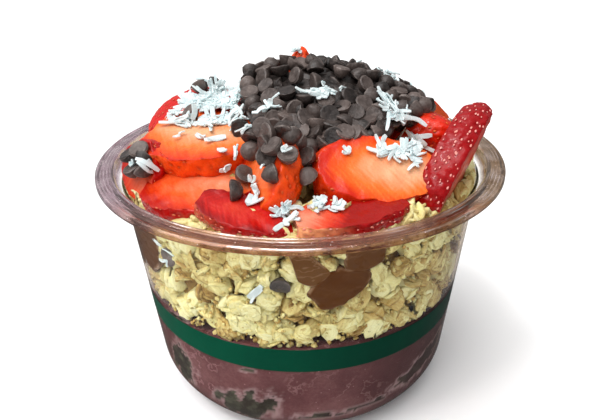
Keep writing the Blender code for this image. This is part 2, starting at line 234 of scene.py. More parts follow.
camera_data = bpy.data.cameras.new("camera")
camera_data.lens = CAMERA_LENS
camera_data.sensor_width = CAMERA_FILM
camera_data.clip_start = 0.01
camera = bpy.data.objects.new("camera", camera_data)
tilt = Matrix.Rotation(np.radians(90.0 - CAMERA_TILT_DOWN), 4, "X")
roll = Matrix.Rotation(np.radians(CAMERA_ROLL), 4, "Z")
camera.matrix_world = Matrix.Translation(Vector(CAMERA_PLACE) * MM) @ (tilt @ roll)
bpy.context.scene.collection.objects.link(camera)
bpy.context.scene.camera = camera


# ---- The bowl -----------------------------------------------------------------------------------
# One sheet of clear plastic, drawn down hot into a mould: a round wall that widens upwards, a large
# round corner, a recessed foot, and a flat rim with a bead along each edge and a turned-down lip.

WALL_FOOT_RADIUS = 45.9
WALL_SLOPE = 0.1
WALL_THICK = 0.6
CORNER_ROUND = 14.3
FOOT_RECESS = 1.0
FOOT_RECESS_RADIUS = 27.0
SHOULDER = 69.6
RIM_IN = 55.0
RIM_OUT = 60.0
RIM_TOP = 73.2
RIM_LIP = 71.1
BOWL_SEGMENTS = 192


def wall_radius(height):
    """The outside radius of the wall: it grows evenly with height."""
    return WALL_FOOT_RADIUS + WALL_SLOPE * height


def rounded_path(corners, steps=5, spacing=4.0, near=0.3):
    """A path of (radius, height) through corners given as (radius, height, rounding).

    Each corner becomes an arc of that rounding which touches both of its sides: it turns evenly from
    the touching point on one side to the touching point on the other, about a centre that lies on the
    corner's bisector. Straights get points at an even spacing, and one near each end.
    """
    spots = np.array([corner[:2] for corner in corners], float)
    arcs = [spots[:1]]
    for k in range(1, len(spots) - 1):
        back, ahead = spots[k - 1] - spots[k], spots[k + 1] - spots[k]
        back, ahead = back / np.linalg.norm(back), ahead / np.linalg.norm(ahead)
        half = np.arccos(np.clip(back @ ahead, -1.0, 1.0)) / 2
        bisector = (back + ahead) / np.linalg.norm(back + ahead)
        rounding = corners[k][2]
        centre = spots[k] + bisector * rounding / np.sin(half)
        start = spots[k] + back * rounding / np.tan(half) - centre
        end = spots[k] + ahead * rounding / np.tan(half) - centre
        whole = np.pi - 2 * half
        part = np.linspace(0.0, whole, max(steps, int(rounding)) + 1)[:, None]
        arcs.append(centre + (np.sin(whole - part) * start + np.sin(part) * end) / np.sin(whole))
    arcs.append(spots[-1:])
    path = []
    for here, following in zip(arcs, arcs[1:]):
        path.append(here)
        length = np.linalg.norm(following[0] - here[-1])
        if length > 4 * near:
            inner = np.arange(spacing, length - spacing / 2, spacing)
            inner = np.concatenate([[near], inner, [length - near]])[:, None] / length
            path.append(here[-1] + (following[0] - here[-1]) * inner)
    return np.concatenate(path + arcs[-1:])


def grid_faces(rows, columns):
    """The four-sided faces between neighbouring rows of points, closed round the columns."""
    row, column = np.meshgrid(np.arange(rows - 1), np.arange(columns), indexing="ij")
    beside = (column + 1) % columns
    quads = [row * columns + column, row * columns + beside]
    quads += [(row + 1) * columns + beside, (row + 1) * columns + column]
    return np.stack(quads, -1).reshape(-1, 4)


def closed_rings(rings, first=None, last=None):
    """Points and faces of a body made of rings, one above the other, with a middle point at each end."""
    rows, columns = rings.shape[:2]
    first = rings[0].mean(axis=0) if first is None else np.asarray(first)
    last = rings[-1].mean(axis=0) if last is None else np.asarray(last)
    points = np.vstack([rings.reshape(-1, 3), first, last])
    here = np.arange(columns)
    beside = (here + 1) % columns
    low = np.stack([np.full(columns, rows * columns), beside, here], -1)
    top = np.stack([np.full(columns, rows * columns + 1), here, beside], -1)
    top[:, 1:] += (rows - 1) * columns
    return points, [grid_faces(rows, columns), np.vstack([low, top])]


def round_bowl(angles, radius, height):
    """Points at those angles round the bowl, in radians, at that distance from its axis and height."""
    return np.stack([radius * np.sin(angles), -radius * np.cos(angles), height + 0 * angles * radius], -1)


def circle(count):
    """That many angles in radians, evenly round a whole turn."""
    return np.linspace(0.0, 2 * np.pi, count, endpoint=False)


def turned(path, segments):
    """Rings that a path of (radius, height) makes when it is turned about the bowl's axis."""
    return round_bowl(circle(segments)[None, :], path[:, :1], path[:, 1:])


bowl_path = rounded_path([
    (0.0, FOOT_RECESS, 0.0),
    (FOOT_RECESS_RADIUS + 0.3, FOOT_RECESS, 0.6),
    (FOOT_RECESS_RADIUS + 1.4, 0.0, 0.6),
    (WALL_FOOT_RADIUS, 0.0, CORNER_ROUND),
    (wall_radius(SHOULDER) + 0.1, SHOULDER - 0.3, 0.5),
    (RIM_IN + 0.3, SHOULDER + 0.2, 0.5),
    (RIM_IN + 0.6, RIM_TOP - 1.0, 0.4),
    (RIM_OUT - 1.4, RIM_TOP - 1.1, 0.4),
    (RIM_OUT - 0.6, RIM_TOP - 1.5, 0.3),
    (RIM_OUT - 0.6, RIM_LIP, 0.1),
    (RIM_OUT, RIM_LIP, 0.12),
    (RIM_OUT, RIM_TOP - 1.0, 0.45),
    (RIM_OUT - 0.8, RIM_TOP - 0.35, 0.4),
    (RIM_OUT - 1.6, RIM_TOP - 0.75, 0.3),
    (RIM_OUT - 3.2, RIM_TOP - 0.55, 0.5),
    (RIM_OUT - 3.7, RIM_TOP - 0.3, 0.4),
    (RIM_IN + 0.9, RIM_TOP - 0.35, 0.3),
    (RIM_IN + 0.4, RIM_TOP, 0.25),
    (RIM_IN - 0.2, RIM_TOP - 0.5, 0.4),
    (RIM_IN - 0.5, SHOULDER + 0.7, 0.4),
    (wall_radius(SHOULDER) - WALL_THICK, SHOULDER, 0.5),
    (WALL_FOOT_RADIUS + 0.06 - WALL_THICK, WALL_THICK, CORNER_ROUND - WALL_THICK),
    (FOOT_RECESS_RADIUS + 1.6, WALL_THICK, 0.6),
    (FOOT_RECESS_RADIUS + 0.5, FOOT_RECESS + WALL_THICK, 0.6),
    (0.0, FOOT_RECESS + WALL_THICK, 0.0),
])

plastic = Finish("clear_plastic", {
    "Transmission Weight": 1.0, "IOR": 1.07, "Specular IOR Level": 0.5,
    "Coat IOR": 1.5, "Coat Roughness": 0.04,
})
from_axis = plastic.add("VectorMath", {"operation": "LENGTH"}, {0: plastic.stretched((1.0, 1.0, 0.0))}, 1)
rim_share = from_axis.rise((RIM_IN - 2.6) * MM, (RIM_IN - 0.4) * MM)
swirl = plastic.cloud(2.5, at=plastic.stretched((0.35, 0.35, 1.0)))
painted_shade_right = plastic.along(0).rise(-0.05, 0.05)
painted_reflection_front = plastic.along(1).rise(-0.03, -0.056)
# The rim's tint is mauve at the left. At the right it is painted darker and brown, as shade,
# and at the front rosy and paler, as a painted reflection.
rim_tint_and_painted_light = plastic.mix(painted_shade_right, shade(152, 122, 134), shade(128, 92, 46))
rim_tint_and_painted_light = plastic.mix(painted_reflection_front, rim_tint_and_painted_light, shade(204, 150, 120))
glints = plastic.specks(1.3).rise(0.24, 0.08) * plastic.cloud(4.0).rise(0.46, 0.6)
groove = plastic.add("TexWave", {"wave_type": "RINGS", "rings_direction": "Z"}, {
    0: plastic.place(), "Scale": 330.0, "Distortion": 1.5, "Detail": 2.0, "Detail Scale": 0.4,
}, "Fac")
lines = groove.rise(0.7, 1.0) * plastic.cloud(9.0).rise(0.4, 0.65)
# Painted shade: the low parts of the fine rings on the rim are darker.
painted_groove_shade = (groove.rise(0.35, 0.1) * swirl.rise(0.6, 0.4) * 0.5).clipped()
rim_tint_and_painted_light = plastic.mix(painted_groove_shade, rim_tint_and_painted_light, shade(88, 60, 56))
# Painted highlights: glints, the bright fine rings and pale swirls lighten the rim's colour.
painted_highlights = (swirl.rise(0.35, 0.75) * 0.3 + glints * 0.9 + lines * 0.8).clipped()
rim_tint_and_painted_light = plastic.mix(painted_highlights, rim_tint_and_painted_light, shade(240, 230, 230))
# Painted shade: where the wall is seen edge-on, its colour turns darker and brown.
edge_on = plastic.add("LayerWeight", {}, {"Blend": 0.5}, 1).rise(0.55, 0.9)
wall = plastic.mix(edge_on, shade(250, 251, 249), shade(168, 146, 126))
plastic.feed("Metallic", ((glints * 0.8 + lines * 0.6 + 0.08) * rim_share).clipped())
plastic.feed("Coat Weight", rim_share * 0.8 + 0.12)
plastic.feed("Roughness", 0.02 + rim_share * 0.16)
plastic.feed("Base Color", plastic.mix(rim_share, wall, rim_tint_and_painted_light))
waves = plastic.cloud(9.0, detail=2.0)
rim_waves = plastic.cloud(1.0, detail=4.0) * 3.2 + groove * 0.8 + glints * 3.0
plastic.relief(waves + rim_waves * rim_share, 0.06)
lets_light_by = plastic.add("LightPath", output=1)
through = plastic.add("BsdfTransparent", {}, {"Color": shade(245, 245, 245)})
clear = Wire(plastic, plastic.shader.outputs[0])
blend = plastic.add("MixShader", {}, {0: lets_light_by, 1: clear, 2: through})
plastic.tree.links.new(blend.socket, plastic.tree.nodes["Material Output"].inputs["Surface"])

bowl_rings = turned(bowl_path[1:-1], BOWL_SEGMENTS)
bowl = surface("clear_bowl", *closed_rings(bowl_rings), plastic)
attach(bowl, "root")
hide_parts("bowl")


# ---- The printed band ---------------------------------------------------------------------------
# A dark green band of ink printed round the outside of the wall below its middle. It is left plain.

BAND_LOW = 28.9
BAND_HIGH = 36.8
INK_LIFT = 0.03
INK_THICK = 0.05

ink = Finish("green_ink", {"Roughness": 0.3, "Alpha": 0.92, "Specular IOR Level": 0.08})
fade = ink.cloud(14.0, detail=3.0) * 0.7 + ink.cloud(1.2) * 0.3
# Painted light and shade: the ink is brighter at the left and darker at the right.
lit_ink = ink.mix(fade, shade(0, 62, 44), shade(0, 88, 62))
flake_thickness_and_shaded_ink = ink.mix(fade, shade(0, 40, 29), shade(0, 56, 40))
ink.feed("Base Color", ink.mix(ink.along(0).rise(-0.045, 0.035), lit_ink, flake_thickness_and_shaded_ink))
heights = np.array([BAND_LOW, BAND_LOW, BAND_HIGH, BAND_HIGH])
lifts = np.array([INK_LIFT, INK_LIFT + INK_THICK, INK_LIFT + INK_THICK, INK_LIFT])
band_rings = turned(np.stack([wall_radius(heights) + lifts, heights], -1), BOWL_SEGMENTS)
band_faces = grid_faces(5, BOWL_SEGMENTS) % (4 * BOWL_SEGMENTS)
band = surface("green_band", band_rings.reshape(-1, 3), [band_faces], ink)
band.data.set_sharp_from_angle(angle=np.radians(40.0))
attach(band, "root")


# ---- The acai puree -----------------------------------------------------------------------------
# Thick frozen acai blended to a mauve puree and scooped into the bowl. It wets the wall, so it
# reaches just into it. In a few pockets it draws back a little: they are painted dark as shade, with
# frosted edges.

PUREE_FRONT = 36.3
PUREE_RISE = 4.5
PUREE_IN_WALL = 0.2
PUREE_COLUMNS = 420
POCKET_DEPTH = 0.15
# The radius at which an angle round the bowl becomes a length along the wall, for the pockets.
POCKET_RADIUS = 48.0
# Each pocket: angle in degrees, height, half width, half height and lean in degrees.
POCKETS = (
    (-50.0, 17.0, 5.5, 8.5, -14.0), (-21.0, 12.0, 10.5, 6.0, 18.0), (-18.5, 27.2, 2.6, 0.8, 10.0),
    (49.0, 17.6, 12.5, 3.4, 16.0), (24.0, 11.6, 6.5, 1.1, 5.0), (8.0, 10.4, 9.0, 1.3, 2.0),
    (-44.0, 37.2, 9.5, 0.5, 6.0), (92.0, 20.0, 9.0, 4.6, -20.0), (128.0, 12.0, 12.0, 4.0, 10.0),
    (168.0, 25.0, 6.0, 3.6, 35.0), (205.0, 12.5, 10.0, 5.0, -12.0), (248.0, 21.0, 7.5, 5.5, 25.0),
    (284.0, 14.0, 8.0, 4.0, 0.0),
)


def ripples(points, size, seed, count=12):
    """Smooth unevenness, mostly from -1 to 1: a sum of sine waves in random directions.

    The waves are size mm long or down to half of that, and each starts at a random place.
    """
    dice = np.random.default_rng(seed)
    ways = dice.normal(size=(count, 3))
    ways /= np.linalg.norm(ways, axis=1, keepdims=True) * size * dice.uniform(0.5, 1.0, (count, 1))
    starts = dice.uniform(0.0, 2 * np.pi, count)
    return np.sin(2 * np.pi * (points @ ways.T) + starts).sum(axis=-1) / (0.9 * np.sqrt(count))


def steps_between(value, low, high):
    """0 below low and 1 above high, with a smooth rise of the cubic kind between them."""
    share = np.clip((value - low) / (high - low), 0.0, 1.0)
    return share * share * (3 - 2 * share)


def puree_edge(angles):
    """Height of the puree at the wall: lowest at the front, with a rise that grows to the back."""
    rise = PUREE_RISE * np.minimum(1.6 * np.sin(angles / 2) ** 2, 1.0)
    return PUREE_FRONT + rise + 0.35 * np.sin(5 * angles + 0.6) + 0.25 * np.sin(13 * angles)


puree_path = rounded_path([
    (0.0, FOOT_RECESS + WALL_THICK - PUREE_IN_WALL, 0.0),
    (FOOT_RECESS_RADIUS + 0.4, FOOT_RECESS + WALL_THICK - PUREE_IN_WALL, 0.6),
    (FOOT_RECESS_RADIUS + 1.5, WALL_THICK - PUREE_IN_WALL, 0.6),
    (WALL_FOOT_RADIUS + 0.02 - WALL_THICK + PUREE_IN_WALL, WALL_THICK - PUREE_IN_WALL, 13.9),
    (wall_radius(PUREE_FRONT) - WALL_THICK + PUREE_IN_WALL, PUREE_FRONT, 0.0),
], steps=4, spacing=0.7)
angles = circle(PUREE_COLUMNS)[None, :]
radius, height = puree_path[1:, :1] + 0 * angles, puree_path[1:, 1:] + 0 * angles
up_wall = np.clip((height - CORNER_ROUND) / (PUREE_FRONT - CORNER_ROUND), 0.0, 1.0)
rise = up_wall * (puree_edge(angles) - PUREE_FRONT)
height, radius = height + rise, radius + WALL_SLOPE * rise
skin = round_bowl(angles, radius, height)
hollow = np.zeros(radius.shape)
depth = np.zeros(radius.shape)
for k, (angle, middle, half_width, half_height, lean) in enumerate(POCKETS):
    along = np.angle(np.exp(1j * (angles - np.radians(angle)))) * POCKET_RADIUS
    up = height - middle
    lean = np.radians(lean)
    across = (along * np.cos(lean) + up * np.sin(lean)) / half_width
    upright = (up * np.cos(lean) - along * np.sin(lean)) / half_height
    away = np.hypot(across, upright) + 0.22 * ripples(skin, 7.0, 50 + k) + 0.10 * ripples(skin, 2.2, 80 + k)
    hollow = np.maximum(hollow, steps_between(away, 1.35, 0.75))
    depth = np.maximum(depth, steps_between(away, 1.05, 0.85))
inwards = POCKET_DEPTH * depth
up_corner = steps_between(height, 0.6, 12.0)
radius = radius - inwards * (0.25 + 0.75 * up_corner)
height = height + inwards * (1 - up_corner)
wall_rows = round_bowl(angles, radius, height)
edge_radius, edge_height = radius[-1], height[-1]
shares = np.array([0.97, 0.9, 0.75, 0.5, 0.2])[:, None]
top_rows = round_bowl(angles, shares * edge_radius, edge_height * shares**2 + PUREE_FRONT * (1 - shares**2))
top_rows[..., 2] += 0.5 * ripples(top_rows, 14.0, 3)
puree_rings = np.concatenate([wall_rows, top_rows])
puree_points, puree_faces = closed_rings(puree_rings)
pad = np.zeros(len(shares) * PUREE_COLUMNS + 2)

puree = Finish("acai_puree", {"IOR": 1.4, "Specular IOR Level": 0.12})
hollow_here, depth_here = puree.stored("hollow"), puree.stored("depth")
blotch = puree.cloud(16.0, detail=5.0)
fine = puree.cloud(0.9, detail=6.0, rough=0.7)
body = puree.ramp(
    blotch * 0.75 + fine * 0.25,
    (0.3, shade(70, 38, 39)), (0.5, shade(94, 57, 58)), (0.7, shade(122, 82, 82)),
)
dots = puree.specks(1.5).rise(0.17, 0.05) * puree.cloud(5.0).rise(0.48, 0.6)
veins = puree.cloud(8.0, detail=5.0, rough=0.6) - 0.5
vein_lines = (veins * veins).rise(0.0005, 0.0) * puree.cloud(22.0).rise(0.5, 0.62)
pale = (dots * 0.75 + vein_lines * 0.3).clipped()
body = puree.mix(pale, body, shade(168, 128, 128))
frosted = (hollow_here * (1 - depth_here) * puree.cloud(1.6, detail=5.0).rise(0.2, 0.5)).clipped()
# Painted shade: the puree is darker in the pockets, most where they are deepest.
pocket = puree.mix(puree.cloud(4.0).rise(0.35, 0.7), shade(38, 32, 26), shade(74, 72, 60))
body = puree.mix(depth_here, body, pocket)
# Painted shade: the puree is darker at the right.
body = puree.mix(puree.along(0).rise(-0.01, 0.045) * 0.75, body, shade(50, 28, 30))
puree.feed("Base Color", puree.mix(frosted, body, shade(170, 142, 142)))
puree.feed("Roughness", 0.32 + fine * 0.25)
puree.relief((fine * 0.5 + puree.cloud(2.5) * 0.5) * (1 - depth_here * 0.8), 0.12)
filling = surface(
    "acai_puree_fill", puree_points, puree_faces, puree,
    hollow=np.concatenate([hollow.ravel(), pad]),
    depth=np.concatenate([depth.ravel(), pad]),
)
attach(filling, "root")
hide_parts("acai_puree")


# ---- The granola --------------------------------------------------------------------------------
# Rolled oats baked with syrup until they stick in clusters, poured in a thick layer on the puree. An
# uneven core, painted dark as the shade between the flakes, fills the middle, and the flakes that show
# lie on it, pressed flat by the wall.

GRANOLA_RIM = 69.5
GRANOLA_CROWN = 9.0
CORE_GAP = 4.4
CORE_COLUMNS = 300
FLAKE_LONG = (4.8, 8.4)
FLAKE_WIDE = (0.62, 0.9)
FLAKE_THICK = (0.9, 1.6)
WALL_CLUSTERS = 300
FLAKES_A_CLUSTER = 7
CLUSTER_ROUND = (2.0, 4.2)
TOP_CLUSTERS = 190
CRUMBS = 1500
# The height at which an angle round the wall becomes a length along it, for the clusters.
CLUSTER_LEVEL = 53.0
# A little over a full turn, for things that may point any way.
ANY_WAY = 6.3


def inner_wall(height):
    """The inside radius of the wall at that height."""
    return wall_radius(height) - WALL_THICK


def granola_top(x, y):
    """Height of the granola: a low crown that falls with the square of the distance from the axis."""
    spot = np.stack([x, y, 0 * x], -1)
    share = (x**2 + y**2) / inner_wall(GRANOLA_RIM) ** 2
    return GRANOLA_RIM + GRANOLA_CROWN * (1 - share) + 0.9 * ripples(spot, 20.0, 11)


def turned_about(axis, angles):
    """Rotation matrices that turn by those angles about a fixed axis: 0 is X, 1 is Y and 2 is Z."""
    first, second = (axis + 1) % 3, (axis + 2) % 3
    turns = np.zeros((len(angles), 3, 3))
    turns[:, axis, axis] = 1.0
    turns[:, first, first] = turns[:, second, second] = np.cos(angles)
    turns[:, second, first] = np.sin(angles)
    turns[:, first, second] = -np.sin(angles)
    return turns


def spun(count, dice):
    """Rotation matrices that turn by random angles about Z."""
    return turned_about(2, dice.uniform(0, 2 * np.pi, count))


def repeated(faces, count, size):
    """The faces of many bodies of one kind, each with that many points, one after another."""
    shift = (np.arange(count) * size)[:, None, None]
    return [(part[None] + shift).reshape(-1, part.shape[1]) for part in faces]


def copies(shapes, faces, turns, places):
    """Points and faces of many small bodies: each shape is turned by its matrix and put in its place."""
    points = np.einsum("nij,nkj->nki", turns, shapes) + places[:, None, :]
    return points, repeated(faces, *shapes.shape[:2])


def held_inside(points, limit):
    """Moves the points that lie further from the bowl's axis than their limit in to it."""
    far = np.hypot(points[..., 0], points[..., 1])
    points[..., :2] *= np.minimum(1.0, limit / far)[..., None]


def flakes(count, dice):
    """Shapes of rolled oats, flat on XY: five rings of eight points, from the middle of the underside
    over the rim to the middle of the top. Each has its own length, width, ragged rim, curl along its
    length, and the crease that runs down the middle of its top."""
    spokes = circle(8)
    share = np.array([0.5, 0.9, 1.0, 0.86, 0.45])[:, None]
    lift = np.array([-0.45, -0.36, 0.0, 0.42, 0.5])[:, None]
    x, y, z = share * np.cos(spokes), share * np.sin(spokes), lift + 0 * spokes
    z = z - np.where(lift > 0, 0.34 * np.exp(-((y / 0.3) ** 2)), 0.0)
    points, faces = closed_rings(np.stack([x, y, z], -1))
    ragged = 1 + 0.13 * dice.uniform(-1, 1, (count, 8))
    ragged = np.concatenate([np.tile(ragged, 5), np.ones((count, 2))], axis=1)
    half = dice.uniform(*FLAKE_LONG, count)[:, None] / 2
    wide = half * dice.uniform(*FLAKE_WIDE, count)[:, None]
    flake_thickness_and_shaded_ink = dice.uniform(*FLAKE_THICK, count)[:, None]
    shape_x = points[None, :, 0] * ragged * half
    shape_y = points[None, :, 1] * ragged * wide
    curl = dice.normal(-0.03, 0.04, (count, 1)) * shape_x**2
    curl = curl + dice.normal(-0.05, 0.06, (count, 1)) * shape_y**2
    wrinkle = 0.16 * dice.uniform(-1, 1, (count, points.shape[0]))
    shape_z = (points[None, :, 2] + wrinkle) * flake_thickness_and_shaded_ink + curl
    held = {"lengthways": shape_x / 4, "across": shape_y / 4}
    held["which"] = np.tile(dice.uniform(0, 9, (count, 1)), shape_x.shape[1])
    held["edge"] = np.tile(np.append(np.repeat(share[:, 0], 8), [0.0, 0.0]), (count, 1))
    return np.stack([shape_x, shape_y, shape_z], -1), faces, held


def scattered_spots(count, width, height, dice, tries=12):
    """Spots on a sheet, spread evenly: each is the one of some tries that lies furthest from the rest."""
    spots = np.empty((0, 2))
    for _ in range(count):
        offers = dice.uniform(0, 1, (tries, 2)) * (width, height)
        if len(spots):
            gap = np.abs(offers[:, None] - spots[None])
            gap[..., 0] = np.minimum(gap[..., 0], width - gap[..., 0])
            offers = offers[np.argmax((gap**2).sum(-1).min(axis=1))][None]
        spots = np.vstack([spots, offers[:1]])
    return spots


oats = Finish("toasted_oats", {
    "Specular IOR Level": 0.18, "Subsurface Weight": 0.12, "Subsurface Scale": 0.0015,
    "Subsurface Radius": (1.0, 0.8, 0.5),
})
flake_place = oats.add("CombineXYZ", {}, {
    0: oats.stored("lengthways") * 0.6, 1: oats.stored("across") * 3.0, 2: oats.stored("which"),
})
ridges = oats.add("TexNoise", {}, {"Vector": flake_place, "Scale": 2.2, "Detail": 3.0})
tone = oats.stored("toast") * 0.6 + oats.cloud(2.2, detail=5.0) * 0.4 + (0.5 - ridges) * 0.5 - 0.12
# The rims of the flakes are darker: partly toasted, partly painted shade between the flakes.
tone = tone + oats.stored("edge").rise(0.86, 1.0) * 0.14
cream, straw = shade(248, 244, 196), shade(230, 218, 152)
tan, toasted = shade(188, 156, 90), shade(92, 52, 20)
oat_colour = oats.ramp(tone.clipped(), (0.0, cream), (0.35, straw), (0.66, tan), (1.0, toasted))
bran = oats.specks(1.1).rise(0.22, 0.1) * oats.cloud(3.0).rise(0.5, 0.65) * 0.5
oats.feed("Base Color", oats.mix(bran, oat_colour, shade(120, 84, 48)))
oats.feed("Roughness", 0.5 + oats.cloud(3.0) * 0.4)
oats.relief(ridges * 0.5 + oats.cloud(1.1, detail=6.0, rough=0.7) * 0.5, 0.6)

core_angles = circle(CORE_COLUMNS)[None, :]
up = np.linspace(0.0, 1.0, 40)[:, None]
core_low = puree_edge(core_angles) - 1.5
core_height = core_low + (GRANOLA_RIM - 1.5 - core_low) * up
core_radius = inner_wall(core_height) - CORE_GAP
core_side = round_bowl(core_angles, core_radius, core_height)
core_push = 0.9 * ripples(core_side, 6.0, 21) + 0.4 * ripples(core_side, 2.2, 22)
core_side = round_bowl(core_angles, core_radius + np.minimum(core_push, 1.6), core_height)
shares = np.linspace(0.97, 0.03, 30)[:, None]
core_edge = inner_wall(GRANOLA_RIM) - CORE_GAP
core_over = round_bowl(core_angles, shares * core_edge, 0.0)
core_over[..., 2] = granola_top(core_over[..., 0], core_over[..., 1]) - 1.6
core_over[..., 2] += 0.5 * ripples(core_over, 4.0, 23)
core_points, core_faces = closed_rings(np.concatenate([core_side, core_over]))
# Painted shade: the core gets more toast than any flake, to stand for the shade between the flakes.
core = surface("granola_core", core_points, core_faces, oats, toast=np.full(len(core_points), 1.3))
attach(core, "root")
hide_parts("granola")

dice = np.random.default_rng(17)
around = 2 * np.pi * inner_wall(CLUSTER_LEVEL)
cluster = scattered_spots(WALL_CLUSTERS, around, GRANOLA_RIM - PUREE_FRONT, dice)
cluster_toast = dice.uniform(0.0, 1.0, WALL_CLUSTERS) ** 1.6
count = WALL_CLUSTERS * FLAKES_A_CLUSTER
ball = np.repeat(dice.uniform(*CLUSTER_ROUND, WALL_CLUSTERS), FLAKES_A_CLUSTER)
spot = np.repeat(cluster, FLAKES_A_CLUSTER, axis=0)
flake_angle = spot[:, 0] / inner_wall(CLUSTER_LEVEL)
ball_height = np.minimum(puree_edge(flake_angle) + 1.6 + spot[:, 1], GRANOLA_RIM - 1.0)
cluster_depth = dice.uniform(0.0, 1.0, WALL_CLUSTERS) ** 1.5 * 1.6
ball_depth = ball * 0.8 + 0.9 + np.repeat(cluster_depth, FLAKES_A_CLUSTER)
shapes, faces, grained = flakes(count, dice)
again = spun(count, dice)
tipped = turned_about(0, np.arccos(dice.uniform(0.25, 1.0, count)))
outwards = again @ tipped
upright = turned_about(2, flake_angle) @ turned_about(0, np.full(count, np.pi / 2))
loose = turned_about(0, dice.normal(0.0, 0.25, count)) @ spun(count, dice)
turns = upright @ outwards @ loose
places = round_bowl(flake_angle, inner_wall(ball_height) - ball_depth, ball_height)
places = places + np.einsum("nij,nj->ni", upright @ outwards, np.stack([0 * ball, 0 * ball, ball], -1))
places[:, 2] = np.clip(places[:, 2], puree_edge(flake_angle) + 1.0, GRANOLA_RIM + 0.5)
points, faces = copies(shapes, faces, turns, places)
held_inside(points, inner_wall(points[..., 2]) - 0.06 - 0.25 * np.abs(ripples(points, 3.0, 31)))
flake_toast = np.repeat(cluster_toast, FLAKES_A_CLUSTER) * 0.7 + dice.uniform(0, 0.5, count)
# Painted shade: the flakes are darker towards the right, as more toast.
painted_shade_right = steps_between(np.sin(flake_angle), 0.3, 0.9)
flake_toast += (0.22 + 0.32 * np.sin(np.arange(count) * 2.4)) * painted_shade_right
held = np.repeat(flake_toast, shapes.shape[1])
wall_flakes = surface("granola_at_wall", points.reshape(-1, 3), faces, oats, toast=held, **grained)
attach(wall_flakes, "root")

count = TOP_CLUSTERS * FLAKES_A_CLUSTER
cluster_angle = dice.uniform(0, 2 * np.pi, TOP_CLUSTERS)
cluster_radius = np.sqrt(dice.uniform(0.32, 1.0, TOP_CLUSTERS)) * (inner_wall(GRANOLA_RIM) - 2.0)
x = np.repeat(cluster_radius * np.sin(cluster_angle), FLAKES_A_CLUSTER) + dice.normal(0, 2.2, count)
y = np.repeat(-cluster_radius * np.cos(cluster_angle), FLAKES_A_CLUSTER) + dice.normal(0, 2.2, count)
far = np.hypot(x, y)
keep = np.minimum(1.0, (inner_wall(GRANOLA_RIM) - 2.5) / far)
x, y = x * keep, y * keep
z = granola_top(x, y) + np.repeat(dice.uniform(-1.0, 0.8, TOP_CLUSTERS), FLAKES_A_CLUSTER)
z = z + dice.uniform(-0.6, 0.6, count)
shapes, faces, grained = flakes(count, dice)
tipped = turned_about(0, dice.normal(0.0, 0.55, count))
turns = spun(count, dice) @ tipped @ spun(count, dice)
points, faces = copies(shapes, faces, turns, np.stack([x, y, z], -1))
held_inside(points, inner_wall(np.minimum(points[..., 2], SHOULDER)) - 0.1)
flake_toast = np.repeat(dice.uniform(0, 1, TOP_CLUSTERS) ** 1.6 * 0.6, FLAKES_A_CLUSTER)
held = np.repeat(flake_toast + dice.uniform(0, 0.45, count), shapes.shape[1])
top_flakes = surface("granola_on_top", points.reshape(-1, 3), faces, oats, toast=held, **grained)
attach(top_flakes, "root")

spokes = circle(5)
lump = np.stack([
    np.array([0.8, 1.0, 0.6])[:, None] * np.cos(spokes),
    np.array([0.8, 1.0, 0.6])[:, None] * np.sin(spokes),
    np.array([-0.6, 0.0, 0.6])[:, None] + 0 * spokes,
], -1)
lump_points, lump_faces = closed_rings(lump, (0, 0, -0.85), (0, 0, 0.85))
size = dice.uniform(0.25, 0.95, (CRUMBS, 1, 1))
shapes = lump_points[None] * size * dice.uniform(0.6, 1.25, (CRUMBS, len(lump_points), 1))
crumb_angle = dice.uniform(0, 2 * np.pi, CRUMBS)
crumb_height = puree_edge(crumb_angle) + dice.uniform(0.0, 1.0, CRUMBS) ** 1.4 * (GRANOLA_RIM - 38.0)
crumb_depth = size[:, 0, 0] + dice.uniform(0.0, 1.2, CRUMBS)
places = round_bowl(crumb_angle, inner_wall(crumb_height) - crumb_depth, crumb_height)
turns = turned_about(2, dice.uniform(0, ANY_WAY, CRUMBS)) @ turned_about(0, dice.uniform(0, ANY_WAY, CRUMBS))
points, faces = copies(shapes, lump_faces, turns, places)
held = np.repeat(dice.uniform(0.3, 1.1, CRUMBS), len(lump_points))
crumbs = surface("granola_crumbs", points.reshape(-1, 3), faces, oats, toast=held)
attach(crumbs, "root")


# ---- The chocolate spread -----------------------------------------------------------------------
# Soft hazelnut chocolate spread, spooned down the side before the fruit went on. It is squeezed
# flat on the wall in folded lobes and rounds off into the granola behind.

SPREAD_IN_WALL = 0.12
# The height at which an angle round the wall becomes a length along it, for the lobes.
SPREAD_LEVEL = 60.0
LOBE_COLUMNS = 96
# How wide each ring of a lobe is, as a share of its outline, from the middle of its back to its front.
LOBE_SHARES = np.concatenate([np.linspace(0.04, 0.97, 14), [1.0], np.linspace(0.985, 0.04, 14)])
# Each lobe: how deep it reaches, how pale its brown is, and the corners of its outline on the wall, as
# angle in degrees and height, against the clock.
FRONT_LOBES = (
    (7.0, 0.15, ((6, 49.0), (12.6, 50.8), (18.4, 55), (19.8, 58.7), (18, 61.3), (13.5, 60.9),
                 (11, 62.3), (7.4, 61.5), (4.3, 58.4), (0.8, 55.0))),
    (5.0, 0.45, ((11.8, 61), (18.4, 60.0), (23.4, 62), (23, 67.6), (11.2, 67.4))),
    (5.0, 0.95, ((3.5, 56.8), (8.4, 60.6), (5, 63.5), (2.1, 66.6), (-3.4, 66.4), (-1.2, 58.2))),
)
LEFT_LOBES = (
    (5.0, 0.3, ((-64, 50), (-55, 48), (-49, 53), (-46, 63), (-50, 68), (-62, 68))),
    (4.0, 0.2, ((-84, 50), (-72, 45), (-62, 47), (-57, 56), (-60, 68), (-82, 68))),
)


